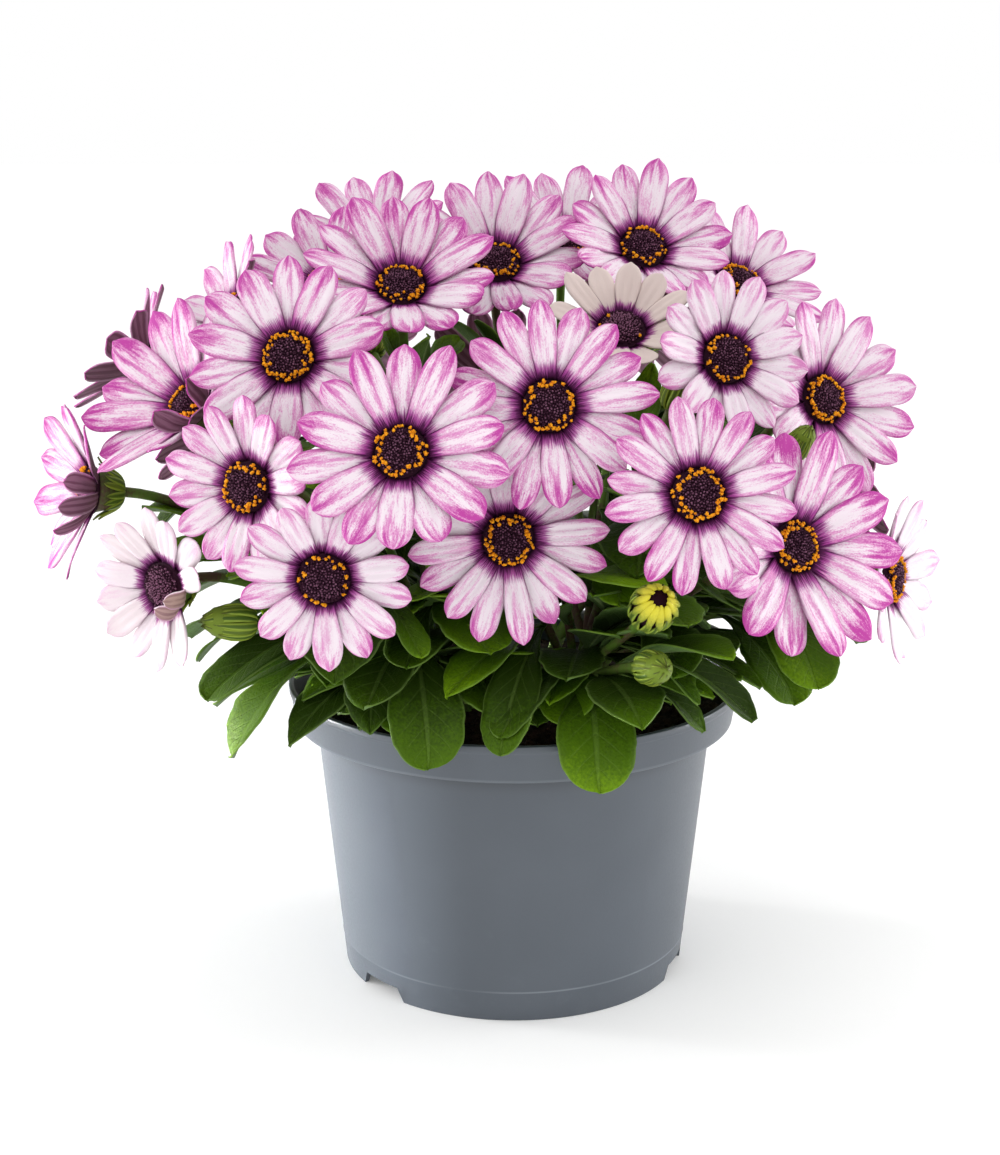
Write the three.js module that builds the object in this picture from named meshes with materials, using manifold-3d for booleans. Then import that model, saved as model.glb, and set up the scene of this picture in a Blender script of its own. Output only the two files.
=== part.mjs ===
// A potted osteospermum (Cape daisy) in bloom: a grey moulded nursery pot, compost, six leafy shoots
// that each carry flower stalks, leaves and buds, and the blooms that the stalks hold up.
//
// Millimetres, +Z up. The origin is the middle of the pot's foot, on the ground. The front is -Y.
// Each bloom is a ring of ray florets with a dome of disc florets seated on it. Its green cup, its
// stalk and the stalk's leaves grow from a shoot, so they are one body with that shoot.
import * as THREE from "three";
import { mergeVertices } from "three/addons/utils/BufferGeometryUtils.js";
import Module from "manifold-3d";

const wasm = await Module();
wasm.setup();

// ---------------------------------------------------------------- driving dimensions

const GAP = 0.3; // clearance between pieces that touch

const POT = {
  footRadius: 50.5,
  skirtHeight: 6, // the foot's skirt, up to the floor inside
  shoulderRadius: 58.1, // body just under the rim band
  bandHeight: 75.2, // underside of the rim band
  bandRadius: 64.2,
  rimRadius: 66,
  height: 86,
  wall: 1.4,
  padRadius: 26, // middle of the floor, which stands on the ground
  floorRise: 4.5, // underside of the floor's outer ring
  segments: 26,
  notches: [-139, -19, 101], // middle of each drain notch in the skirt, degrees from +X
  notchWidth: 19,
  notchHeight: 4.2,
  drains: 6,
  drainRadius: 3,
};

const SOIL = { height: 79.5, crown: 2.5, lump: 0.9, segments: 14 };

const CORE = { radius: 7.3, half: 0.8 }; // the receptacle that the rays grow from
const RAY = { level: 1.5, droop: -12, halfShare: 0.165, crowdedSlim: 0.86, curledSlim: 0.55 };
const DISC = { radius: 6.4, dome: 3.2, sides: 8 };
const CUP = { radius: 6.3, depth: 9 }; // the green cup under a bloom
const STALK = { radius: 1.2, sides: 4, tries: 80, stations: [0, 0.3, 0.6] };
const STEM = { radius: 2, sides: 6, depth: 26, stations: [0, 0.5, 1] }; // depth: below the soil's edge
const LEAF = { length: [30, 46], slope: [-30, 30], arch: [14, 30], halfShare: [0.19, 0.24], tries: 900 };

// Shares of the length, half widths and keel depths down a ray from its root, and down a leaf with a
// tooth on each side. The widths are shares of the blade's half width.
const RAY_FORM = [
  [0.4, 0.9, 1],
  [0.78, 1, 1.1],
  [1, 0.5, 0.7],
];
const SIMPLE_RAY_FORM = [
  [0.62, 1, 1.1],
  [1, 0.55, 0.7],
];
const LEAF_FORM = [
  [0, 0.1, 0.6],
  [0.36, 0.44, 1],
  [0.68, 1, 1.1],
  [0.75, 0.82, 1.1],
  [1, 0.2, 0.6],
];

const FINISH = {
  pot: { color: 0x7d858f, roughness: 0.55 },
  soil: { color: 0x241812, roughness: 1 },
  green: { color: 0x3f7a12, roughness: 0.5 },
  pink: { color: 0xe9c3e4, roughness: 0.6 },
  white: { color: 0xf0eae6, roughness: 0.6 },
  disc: { color: 0x3a2038, roughness: 0.9 },
};

// ---------------------------------------------------------------- the blooms and the shoots

// at: centre of the bloom. face: [azimuth, elevation] that it looks to, in degrees, azimuth 0 being the
// front and 90 the right. reach: radius over the ray tips. cup: how far the rays rise from flat, in
// degrees. lift: extra rise at the top of the bloom, and as much less at its foot. whole: rays and disc
// are one body.
const BLOOMS = [
  { at: [-58, -54, 187], face: [-8, 20], reach: 27, rays: 14, cup: 18, lift: -2, shoot: 0 },
  { at: [-31, -14, 201], face: [2, 46], reach: 28.5, rays: 14, cup: 36, lift: 0, shoot: 0 },
  { at: [-5, 12, 205], face: [4, 42], reach: 28, rays: 14, cup: 34, lift: 0, shoot: 1 },
  { at: [37, 15, 209], face: [12, 40], reach: 26.6, rays: 14, cup: 34, lift: 0, shoot: 1 },
  { at: [29, -22, 190], face: [2, 50], reach: 21.5, rays: 12, cup: 36, lift: 0, shoot: 1, tint: "white" },
  { at: [55, -42, 185], face: [22, 16], reach: 23.5, rays: 14, cup: 26, lift: 2, shoot: 1, tint: "white" },
  { at: [85, -15, 170], face: [30, 20], reach: 28, rays: 14, cup: 24, lift: 2, shoot: 3 },
  { at: [67, 32, 197], face: [34, 46], reach: 26.5, rays: 12, cup: 32, lift: 0, shoot: 3 },
  { at: [8, -76, 178], face: [4, 16], reach: 26.5, rays: 16, cup: 16, lift: 2, shoot: 1 },
  { at: [-28, -86, 168], face: [-6, 26], reach: 27.5, rays: 14, cup: 20, lift: 0, shoot: 0 },
  { at: [44, -88, 158], face: [6, 20], reach: 24.5, rays: 16, cup: 16, lift: 2, shoot: 1 },
  { at: [-2, -74, 144], face: [6, 2], reach: 26, rays: 16, cup: 12, lift: -2, shoot: 1 },
  { at: [-47.5, -85, 136.5], face: [-2, -6], reach: 22.8, rays: 14, cup: 20, lift: -4, shoot: 0 },
  { at: [-67.5, -69.5, 156.5], face: [-28, 6], reach: 23, rays: 14, cup: 24, lift: 0, shoot: 0 },
  { at: [-87, -32, 171], face: [-46, 34], reach: 31, rays: 14, cup: 36, lift: 0, shoot: 2 },
  { at: [-117, -22, 146], face: [-66, 8], reach: 27, rays: 12, cup: 32, lift: 0, shoot: 2 },
  { at: [-92, -55, 127], face: [-36, 0], reach: 22.5, rays: 14, cup: 28, lift: 0, shoot: 0, tint: "white" },
  { at: [-109, 15, 177], face: [-90, 34], reach: 24.5, rays: 12, cup: 34, lift: 0, shoot: 2, whole: true },
  { at: [-54, 23, 198], face: [-22, 44], reach: 26, rays: 12, cup: 34, lift: 0, shoot: 2 },
  { at: [-42, 50, 208], face: [-10, 52], reach: 26.5, rays: 12, cup: 34, lift: 0, shoot: 4, whole: true },
  { at: [16, 48, 208], face: [8, 52], reach: 27, rays: 12, cup: 34, lift: 0, shoot: 5, whole: true },
  { at: [71, -66, 140], face: [30, 18], reach: 31.5, rays: 14, cup: 24, lift: 0, shoot: 1 },
  { at: [104, -26, 122], face: [60, 4], reach: 25, rays: 12, cup: 24, lift: 0, shoot: 3, tint: "white" },
  { at: [-81, 5, 191], face: [-70, 34], reach: 25, rays: 12, cup: 30, lift: 0, shoot: 2, whole: true },
  { at: [42, 78, 178], face: [152, 34], reach: 27, rays: 12, cup: 24, lift: 0, shoot: 5, whole: true },
  { at: [-6, 88, 160], face: [182, 24], reach: 27, rays: 12, cup: 24, lift: 0, shoot: 5, whole: true },
  { at: [-48, 76, 176], face: [-150, 32], reach: 27, rays: 12, cup: 24, lift: 0, shoot: 4, whole: true },
  { at: [82, 57, 162], face: [122, 30], reach: 27, rays: 12, cup: 24, lift: 0, shoot: 5, whole: true },
  { at: [-90, 48, 152], face: [-122, 22], reach: 26, rays: 12, cup: 24, lift: 0, shoot: 4, whole: true },
  { at: [98, 16, 138], face: [92, 14], reach: 25, rays: 12, cup: 24, lift: 0, shoot: 3, whole: true },
];

// Rays that curl up or over the disc, by bloom number: [clock angle, bend] of each, in degrees.
const CURLED = {
  15: [
    [-64, 14],
    [-38, 44],
    [-12, 30],
    [14, 38],
    [40, 20],
  ],
  16: [
    [-30, 30],
    [0, 60],
    [30, 30],
  ],
  17: [
    [-34, 112],
    [-8, 122],
  ],
};

// Each shoot leaves the soil at foot, and its flower stalks leave its stem below the top.
const SHOOTS = [
  { name: "shoot_front_left", foot: [-13, -20], top: [-24, -34, 104], seed: 101, leaves: 6 },
  { name: "shoot_front_right", foot: [13, -20], top: [22, -33.6, 104], seed: 102, leaves: 5 },
  { name: "shoot_left", foot: [-25, 2], top: [-42, 2, 104], seed: 103, leaves: 11 },
  { name: "shoot_right", foot: [25, 2], top: [42, 2, 104], seed: 104, leaves: 11 },
  { name: "shoot_back_left", foot: [-12, 20], top: [-24, 33.6, 104], seed: 105, leaves: 9 },
  { name: "shoot_back_right", foot: [12, 20], top: [24, 34, 104], seed: 106, leaves: 9 },
];

// Buds, each on a stalk from its shoot's fork. reach: radius of the bud.
const BUDS = [
  { at: [44, -40, 178], face: [40, 62], reach: 5, shoot: 1 },
  { at: [34, -88, 130], face: [10, 30], reach: 6, shoot: 1 },
  { at: [35, -84, 113], face: [20, 14], reach: 5, shoot: 1 },
  { at: [-76, -58, 118], face: [-70, 6], reach: 5.5, shoot: 0 },
  { at: [76, -43, 164], face: [30, 50], reach: 4, shoot: 3 },
];

// The leaves that hang over the rim or stand out at the front. on, node: the head whose stalk a leaf grows
// on, and where on that stalk. tip, half, arch: its tip, half its width and the angle it arches through.
const LEAVES = [
  { on: "bud_3", node: 1, tip: [22, -76, 77], half: 9.5, arch: 38 },
  { on: "bloom_12", node: 1, tip: [-4, -78, 88], half: 6.5, arch: 26 },
  { on: "bloom_13", node: 1, tip: [-23, -75, 83], half: 9, arch: 30 },
  { on: "bud_2", node: 1, tip: [-4, -76, 92], half: 5.5, arch: 30 },
  { on: "bud_2", node: 1, tip: [39, -76, 119], half: 6, arch: 20 },
  { on: "bud_3", node: 2, tip: [50, -62, 89], half: 6, arch: 26 },
  { on: "bloom_22", node: 1, tip: [59, -52, 109], half: 6, arch: 16 },
  { on: "bud_3", node: 1, tip: [61, -50, 100], half: 7, arch: 18 },
  { on: "bloom_22", node: 1, tip: [67, -45, 96], half: 6, arch: 18 },
  { on: "bud_2", node: 2, tip: [48, -66, 98], half: 3.2, arch: 20 },
  { on: "bloom_22", node: 2, tip: [76, -44, 111], half: 4.5, arch: 14 },
  { on: "bud_4", node: 2, tip: [-76, -56, 80], half: 7.5, arch: 26 },
  { on: "bud_4", node: 1, tip: [-60, -62, 85], half: 7.5, arch: 30 },
  { on: "bloom_13", node: 1, tip: [-39, -76, 100], half: 8, arch: 20 },
  { on: "bloom_10", node: 1, tip: [-33, -66, 102], half: 8, arch: 16 },
  { on: "bloom_12", node: 1, tip: [-18, -70, 101], half: 7, arch: 18 },
  { on: "bloom_17", node: 2, tip: [-88, -32, 100], half: 5.5, arch: 18 },
  { on: "bloom_17", node: 1, tip: [-83, -35, 88], half: 6.5, arch: 22 },
  { on: "bloom_17", node: 2, tip: [-92, -18, 103], half: 6, arch: 18 },
  { on: "bloom_13", node: 2, tip: [-24, -74, 113], half: 4, arch: 20 },
  { on: "bloom_11", node: 1, tip: [20, -64, 127], half: 6, arch: 12 },
  { on: "bloom_02", node: 2, tip: [-24, -8, 187], half: 5, arch: 8 },
  { on: "bloom_04", node: 2, tip: [21, 22, 199], half: 5, arch: 8 },
];

// ---------------------------------------------------------------- small tools

const radians = (degrees) => (degrees * Math.PI) / 180;
const vector = (x, y, z) => new THREE.Vector3(x, y, z);
const upward = vector(0, 0, 1);

// A seeded random number from 0 to 1, the same on every run.
function seededRandom(seed) {
  let state = seed >>> 0;
  return () => {
    state = (state + 0x6d2b79f5) >>> 0;
    let t = Math.imul(state ^ (state >>> 15), 1 | state);
    t = (t + Math.imul(t ^ (t >>> 7), 61 | t)) ^ t;
    return ((t ^ (t >>> 14)) >>> 0) / 4294967296;
  };
}

// A closed three.js geometry as a manifold solid.
function toSolid(geometry) {
  const bare = new THREE.BufferGeometry();
  bare.setAttribute("position", geometry.attributes.position);
  bare.setIndex(geometry.index);
  const merged = mergeVertices(bare, 1e-3);
  const corners = merged.index.array;
  const triVerts = [];
  for (let i = 0; i < corners.length; i += 3) {
    const [a, b, c] = corners.slice(i, i + 3);
    if (a !== b && b !== c && c !== a) triVerts.push(a, b, c);
  }
  const vertProperties = merged.attributes.position.array;
  const mesh = new wasm.Mesh({ numProp: 3, vertProperties, triVerts: new Uint32Array(triVerts) });
  return new wasm.Manifold(mesh);
}

// A manifold solid as a three.js geometry.
function toGeometry(solid) {
  const { numProp, numVert, vertProperties, triVerts } = solid.getMesh();
  const positions = new Float32Array(numVert * 3);
  for (let i = 0; i < numVert; i++) {
    positions.set(vertProperties.subarray(i * numProp, i * numProp + 3), i * 3);
  }
  const geometry = new THREE.BufferGeometry();
  geometry.setAttribute("position", new THREE.BufferAttribute(positions, 3));
  geometry.setIndex(new THREE.BufferAttribute(new Uint32Array(triVerts), 1));
  geometry.computeVertexNormals();
  return geometry;
}

const fuse = (solids) => wasm.Manifold.union(solids);

// A closed solid through rings of points, all with the same count, counter-clockwise about the way on.
function loft(rings) {
  const count = rings[0].length;
  const index = [];
  for (let ring = 0; ring + 1 < rings.length; ring++) {
    for (let k = 0; k < count; k++) {
      const a = ring * count + k;
      const b = ring * count + ((k + 1) % count);
      index.push(a, b, b + count, a, b + count, a + count);
    }
  }
  const last = (rings.length - 1) * count;
  for (let k = 1; k + 1 < count; k++) {
    index.push(0, k + 1, k, last, last + k, last + k + 1);
  }
  const geometry = new THREE.BufferGeometry();
  const positions = rings.flat().flatMap((point) => point.toArray());
  geometry.setAttribute("position", new THREE.Float32BufferAttribute(positions, 3));
  geometry.setIndex(index);
  return geometry;
}

// A solid turned about the Z axis, whose ring at each [radius, height] waves in and out by its third value
// and up and down by its fourth.
function waved(profile, sides) {
  return loft(
    profile.map(([radius, height, wave = 0, ripple = 0]) =>
      Array.from({ length: sides }, (_, k) => {
        const angle = (2 * Math.PI * k) / sides;
        const sign = k % 2 ? -1 : 1;
        const r = radius + sign * wave;
        return vector(r * Math.cos(angle), r * Math.sin(angle), height + sign * ripple);
      }),
    ),
  );
}

// A ring of points round a middle, in the plane of two directions at right angles. It waves in and out.
function ringRound(middle, side, other, sides, radius, wave = 0) {
  return Array.from({ length: sides }, (_, k) => {
    const angle = (2 * Math.PI * k) / sides;
    const r = radius + (k % 2 ? -wave : wave);
    const point = middle.clone().addScaledVector(side, r * Math.cos(angle));
    return point.addScaledVector(other, r * Math.sin(angle));
  });
}

// Rings of even thickness along a curve, at shares of its length, turned so that they start along right.
function rodRings(curve, right, { radius, sides, stations }) {
  return stations.map((share) => {
    const along = curve.getTangent(share);
    const side = right.clone().addScaledVector(along, -right.dot(along)).normalize();
    return ringRound(curve.getPoint(share), side, along.clone().cross(side), sides, radius);
  });
}

// ---------------------------------------------------------------- thin blades: rays and leaves

// The midline of a blade: it leaves root along out, and its rise above out turns evenly from the first
// angle to the second.
function midline({ root, out, up, length, rise }, steps) {
  const points = [root.clone()];
  for (let i = 0; i < steps; i++) {
    const angle = radians(rise[0] + ((rise[1] - rise[0]) * (i + 0.5)) / steps);
    const next = points[i].clone();
    next.addScaledVector(out, (length / steps) * Math.cos(angle));
    next.addScaledVector(up, (length / steps) * Math.sin(angle));
    points.push(next);
  }
  return points;
}

// The directions at a share of a blade's length: along it, across it and out of its upper face.
function bladeFrame({ out, across, up, rise, roll }, share) {
  const angle = radians(rise[0] + (rise[1] - rise[0]) * share);
  const along = out.clone().multiplyScalar(Math.cos(angle)).addScaledVector(up, Math.sin(angle));
  const side = across.clone().applyAxisAngle(along, radians(roll) * share);
  return { along, side, top: along.clone().cross(side) };
}

const MIDLINE_STEPS = 100;

// The three-cornered rings of a blade with a flat upper face and a keel below, in the given form.
function bladeRings(blade, form) {
  const points = midline(blade, MIDLINE_STEPS);
  return form.map(([share, width, keel]) => {
    const { side, top } = bladeFrame(blade, share);
    const middle = points[Math.round(share * MIDLINE_STEPS)];
    return [
      middle.clone().addScaledVector(side, width * blade.half),
      middle.clone().addScaledVector(side, -width * blade.half),
      middle.clone().addScaledVector(top, -keel),
    ];
  });
}

// A leaf from root to tip that arches up through the given angle at each end.
function leafBlade({ root, tip, half, arch }) {
  const chord = tip.clone().sub(root);
  const out = vector(chord.x, chord.y, 0).normalize();
  const slope = (Math.atan2(chord.z, Math.hypot(chord.x, chord.y)) * 180) / Math.PI;
  const length = (chord.length() * radians(arch)) / Math.sin(radians(arch));
  const across = upward.clone().cross(out);
  return { root, out, across, up: upward, length, half, rise: [slope + arch, slope - arch], roll: 0 };
}

// ---------------------------------------------------------------- blooms

// A bloom's or bud's own frame: x to its right, y to its top, z out of its face.
function frameOf({ at, face: [azimuthDegrees, elevationDegrees] }) {
  const azimuth = radians(azimuthDegrees);
  const elevation = radians(elevationDegrees);
  const right = vector(Math.cos(azimuth), Math.sin(azimuth), 0);
  const flat = Math.cos(elevation);
  const face = vector(flat * Math.sin(azimuth), -flat * Math.cos(azimuth), Math.sin(elevation));
  const top = face.clone().cross(right);
  const matrix = new THREE.Matrix4().makeBasis(right, top, face);
  return { right, top, face, origin: vector(...at), matrix };
}

function place(solid, frame) {
  return solid.transform(frame.matrix.clone().setPosition(frame.origin).elements);
}

// The rays of a bloom as blades, drawn from its own seed. They sit higher and lower by turns.
function raysOf(bloom, seed) {
  const random = seededRandom(seed);
  const vary = (amount) => (2 * random() - 1) * amount;
  const { reach, rays, cup, lift, curled = [] } = bloom;
  const { right, top, face, origin } = frameOf(bloom);
  const spacing = 360 / rays;
  bloom.start = spacing * random();
  const rootRadius = CORE.radius * Math.cos(Math.PI / rays);
  return Array.from({ length: rays }, (_, i) => {
    const clock = radians(bloom.start + spacing * i);
    const isHigh = i % 2 === 0;
    const isHere = ([angle]) => Math.cos(radians(angle) - clock) > Math.cos(radians(spacing / 2));
    const curl = curled.find(isHere);
    const level = isHigh ? RAY.level : -RAY.level;
    const lean = cup + lift * Math.sin(clock) + level + vary(0.8);
    const bend = (curl ? curl[1] + (isHigh ? 14 : -14) : RAY.droop) + vary(6);
    const length = (reach - rootRadius) * (1 + vary(0.05));
    const slim = curl ? RAY.curledSlim : rays > 14 ? RAY.crowdedSlim : 1;
    const half = RAY.halfShare * reach * (1 + vary(0.06)) * slim;
    const out = right.clone().multiplyScalar(Math.cos(clock)).addScaledVector(top, Math.sin(clock));
    const root = origin.clone().addScaledVector(out, rootRadius);
    root.addScaledVector(face, (isHigh ? 0.75 : -0.25) * CORE.half);
    const swing = radians(spacing * vary(0.08));
    out.applyAxisAngle(face, swing);
    const across = face.clone().cross(out);
    return { root, out, across, up: face, length, half, rise: [lean, lean + bend], roll: vary(6) };
  });
}

// The ring of rays on its receptacle, as one skin. The receptacle has a side for each ray, and the ray
// grows from the upper or the lower half of its side by turns. domed: the disc florets stand on it.
function raysGeometry(bloom, form, domed) {
  const { right, top, face, origin } = frameOf(bloom);
  const { rays, start, blades } = bloom;
  const positions = [];
  const index = [];
  const add = (point) => positions.push(...point.toArray()) / 3 - 1;
  const quad = (a, b, c, d) => index.push(a, b, c, a, c, d);
  const ring = (radius, height, wave = 0, ripple = 0) =>
    blades.map((_, k) => {
      const clock = radians(start + (360 / rays) * (k - 0.5));
      const sign = k % 2 ? -1 : 1;
      const point = origin.clone().addScaledVector(face, height + sign * ripple);
      point.addScaledVector(right, (radius + sign * wave) * Math.cos(clock));
      return add(point.addScaledVector(top, (radius + sign * wave) * Math.sin(clock)));
    });
  const [high, middle, low] = [CORE.half, 0, -CORE.half].map((height) => ring(CORE.radius, height));

  blades.forEach((blade, k) => {
    const next = (k + 1) % rays;
    const isHigh = k % 2 === 0;
    const [upper, lower] = isHigh ? [high, middle] : [middle, low];
    const [bareUpper, bareLower] = isHigh ? [middle, low] : [high, middle];
    quad(bareUpper[next], bareUpper[k], bareLower[k], bareLower[next]);
    const rings = bladeRings(blade, form).map((points) => points.map(add));
    const [plus, minus, keel] = rings[0];
    quad(upper[next], upper[k], minus, plus);
    index.push(upper[k], lower[k], minus, lower[k], keel, minus, lower[k], lower[next], keel);
    index.push(lower[next], plus, keel, lower[next], upper[next], plus);
    for (let i = 0; i + 1 < rings.length; i++) {
      for (let j = 0; j < 3; j++) {
        const after = (j + 1) % 3;
        quad(rings[i][j], rings[i][after], rings[i + 1][after], rings[i + 1][j]);
      }
    }
    index.push(...rings.at(-1));
  });

  let crown = high;
  if (domed) {
    const [, , shoulder] = discProfile(CORE.half);
    crown = ring(...shoulder);
    crown.forEach((_, k) => quad(high[k], high[(k + 1) % rays], crown[(k + 1) % rays], crown[k]));
  }
  for (let k = 1; k + 1 < rays; k++) {
    index.push(crown[0], crown[k], crown[k + 1], low[0], low[k + 1], low[k]);
  }
  const geometry = new THREE.BufferGeometry();
  geometry.setAttribute("position", new THREE.Float32BufferAttribute(positions, 3));
  geometry.setIndex(index);
  return geometry;
}

// The dome of disc florets, whose rings stand in relief, as [radius, height, wave, ripple] from its base.
function discProfile(base) {
  const { radius, dome } = DISC;
  return [
    [radius, base, 0.3],
    [0.95 * radius, base + 0.5 * dome, 0.35, 0.3],
    [0.5 * radius, base + 0.95 * dome, -0.3, -0.3],
    [0, base + dome],
  ];
}

function discSolid(bloom) {
  return place(toSolid(waved(discProfile(CORE.half + GAP), DISC.sides)), frameOf(bloom));
}

// ---------------------------------------------------------------- stalks, cups and buds

// Rings from the back of a head to its seat, as [radius, height, wave] in its own frame.
const cupProfile = () => [
  [STALK.radius + 0.3, -CUP.depth],
  [0.78 * CUP.radius, -0.5 * CUP.depth],
  [CUP.radius - 0.4, -CORE.half - GAP, 0.4],
];
const budProfile = ({ reach }) => [
  [STALK.radius + 0.3, -1.5 * reach],
  [0.85 * reach, -0.8 * reach],
  [0.9 * reach, 0.2 * reach, 0.05 * reach],
  [0.25 * reach, 1.2 * reach, 0.05 * reach],
];

// A stalk along its curve and the cup or bud at its end, as one skin.
function headSolid(head) {
  const { right, top, face, origin } = frameOf(head);
  const headRings = head.profile.map(([radius, height, wave]) =>
    ringRound(origin.clone().addScaledVector(face, height), right, top, STALK.sides, radius, wave),
  );
  return toSolid(loft([...rodRings(head.stalk, right, STALK), ...headRings]));
}

// ---------------------------------------------------------------- growing the plant

// Room that is taken, as balls, each with the name of what fills it.
const taken = [];

function take(points, radius, owner) {
  for (const point of points) taken.push({ point, radius, owner });
}

// Whether points with this much round them lie clear of all that other owners have taken.
function isClear(points, radius, ...owners) {
  return taken.every(
    (ball) =>
      owners.includes(ball.owner) ||
      points.every((point) => point.distanceToSquared(ball.point) > (radius + ball.radius) ** 2),
  );
}

const BALL = { ray: 3.8, head: 7, stalk: 1.8, leaf: 2.2 };

// Points over a leaf: its middle and both sides at each step.
function leafPoints(blade) {
  const steps = 6;
  return midline(blade, steps).flatMap((middle, i) => {
    if (i === 0) return [];
    const width = 0.7 * blade.half * Math.min(1, 0.3 + i / steps);
    return [-width, 0, width].map((shift) => middle.clone().addScaledVector(blade.across, shift));
  });
}

// The main stem of a shoot above the soil, and its root below: straight up, then over to its top.
function stemCurve({ foot: [x, y], top }) {
  const start = vector(x, y, POT.height - 1);
  return new THREE.QuadraticBezierCurve3(start, start.clone().addScaledVector(upward, 7), vector(...top));
}

function stemSolid({ foot: [x, y], stem }) {
  const bottom = vector(x, y, SOIL.height - STEM.depth);
  const right = vector(1, 0, 0);
  const bottomRing = ringRound(bottom, right, vector(0, 1, 0), STEM.sides, STEM.radius);
  return toSolid(loft([bottomRing, ...rodRings(stem, right, STEM)]));
}

// A stalk from its shoot's stem to the back of its head. It bows aside until it is clear of the others.
function stalkCurve(head, share, random) {
  const { face, origin } = frameOf(head);
  const start = SHOOTS[head.shoot].stem.getPoint(share);
  const end = origin.clone().addScaledVector(face, head.profile[0][1]);
  const reach = start.distanceTo(end);
  const toward = end.clone().sub(start).divideScalar(reach);
  for (let i = 0; i < STALK.tries; i++) {
    const bow = vector(random() - 0.5, random() - 0.5, random() - 0.5);
    bow.multiplyScalar((1.4 * reach * i) / STALK.tries);
    const first = start.clone().addScaledVector(toward, 0.32 * reach).add(bow);
    const second = end.clone().addScaledVector(face, -0.3 * reach).addScaledVector(bow, 0.6);
    const curve = new THREE.CubicBezierCurve3(start, first, second, end);
    const points = curve.getPoints(24).slice(4, 24);
    if (isClear(points, BALL.stalk, head.shoot, head.name)) {
      take(points, BALL.stalk, head.shoot);
      return curve;
    }
  }
  throw new Error(`no way through for the stalk of ${head.name}`);
}

// A leaf drawn at random on one of a shoot's stalks.
function drawLeaf(random, stalks) {
  const between = ([low, high]) => low + (high - low) * random();
  const stalk = stalks[Math.floor(random() * stalks.length)];
  const root = stalk.getPoint(STALK.stations[random() < 0.6 ? 1 : 2]);
  const bearing = Math.atan2(root.y, root.x) + radians(75) * (2 * random() - 1);
  const length = between(LEAF.length);
  const slope = radians(between(LEAF.slope));
  const tip = root.clone();
  tip.x += length * Math.cos(slope) * Math.cos(bearing);
  tip.y += length * Math.cos(slope) * Math.sin(bearing);
  tip.z += length * Math.sin(slope);
  return leafBlade({ root, tip, half: length * between(LEAF.halfShare), arch: between(LEAF.arch) });
}

// Above the soil, and either over the rim or outside the pot.
function isOffPot({ x, y, z }) {
  return z > POT.height + 3 || Math.hypot(x, y) > POT.rimRadius + 3;
}

BLOOMS.forEach((bloom, i) => {
  bloom.name = `bloom_${String(i + 1).padStart(2, "0")}`;
  bloom.profile = cupProfile();
  bloom.curled = CURLED[i + 1];
  bloom.blades = raysOf(bloom, i + 1);
  for (const blade of bloom.blades) take(midline(blade, 6).slice(1), BALL.ray, bloom.name);
  take([frameOf(bloom).origin], BALL.head, bloom.name);
});

BUDS.forEach((bud, i) => {
  bud.name = `bud_${i + 1}`;
  bud.profile = budProfile(bud);
  take([frameOf(bud).origin], bud.reach + 1, bud.shoot);
});

// The stalks of a shoot leave its stem one above the other, the lowest head's first.
SHOOTS.forEach((shoot, i) => {
  const random = seededRandom(shoot.seed);
  shoot.stem = stemCurve(shoot);
  shoot.heads = [...BLOOMS, ...BUDS].filter((head) => head.shoot === i);
  shoot.heads.sort((a, b) => a.at[2] - b.at[2]);
  const count = shoot.heads.length;
  shoot.heads.forEach((head, k) => {
    head.stalk = stalkCurve(head, 0.35 + (0.6 * k) / (count - 1), random);
  });
});

for (const leaf of LEAVES) {
  const head = [...BLOOMS, ...BUDS].find(({ name }) => name === leaf.on);
  const root = head.stalk.getPoint(STALK.stations[leaf.node]);
  leaf.shoot = head.shoot;
  leaf.blade = leafBlade({ ...leaf, root, tip: vector(...leaf.tip) });
  take(leafPoints(leaf.blade), BALL.leaf, leaf.shoot);
}

SHOOTS.forEach((shoot, i) => {
  const random = seededRandom(shoot.seed + 50);
  const stalks = shoot.heads.map((head) => head.stalk);
  shoot.blades = LEAVES.filter((leaf) => leaf.shoot === i).map((leaf) => leaf.blade);
  const wanted = shoot.blades.length + shoot.leaves;
  for (let tries = 0; tries < LEAF.tries && shoot.blades.length < wanted; tries++) {
    const blade = drawLeaf(random, stalks);
    const points = leafPoints(blade);
    if (points.every(isOffPot) && isClear(points, BALL.leaf)) {
      take(points, BALL.leaf, i);
      shoot.blades.push(blade);
    }
  }
});

function shootSolid(shoot) {
  return fuse([
    stemSolid(shoot),
    ...shoot.heads.map(headSolid),
    ...shoot.blades.map((blade) => toSolid(loft(bladeRings(blade, LEAF_FORM)))),
  ]);
}

// ---------------------------------------------------------------- pot and soil

// The radius of the body's outside at a height, under the rim band.
function bodyRadius(height) {
  return POT.footRadius + ((POT.shoulderRadius - POT.footRadius) * height) / POT.bandHeight;
}

const insideBottom = POT.skirtHeight;
const insideTop = POT.bandHeight + POT.wall;

function lathe(profile, segments) {
  const points = profile.map(([radius, height]) => new THREE.Vector2(radius, height));
  return toSolid(new THREE.LatheGeometry(points, segments)).rotate([90, 0, 0]);
}

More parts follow.
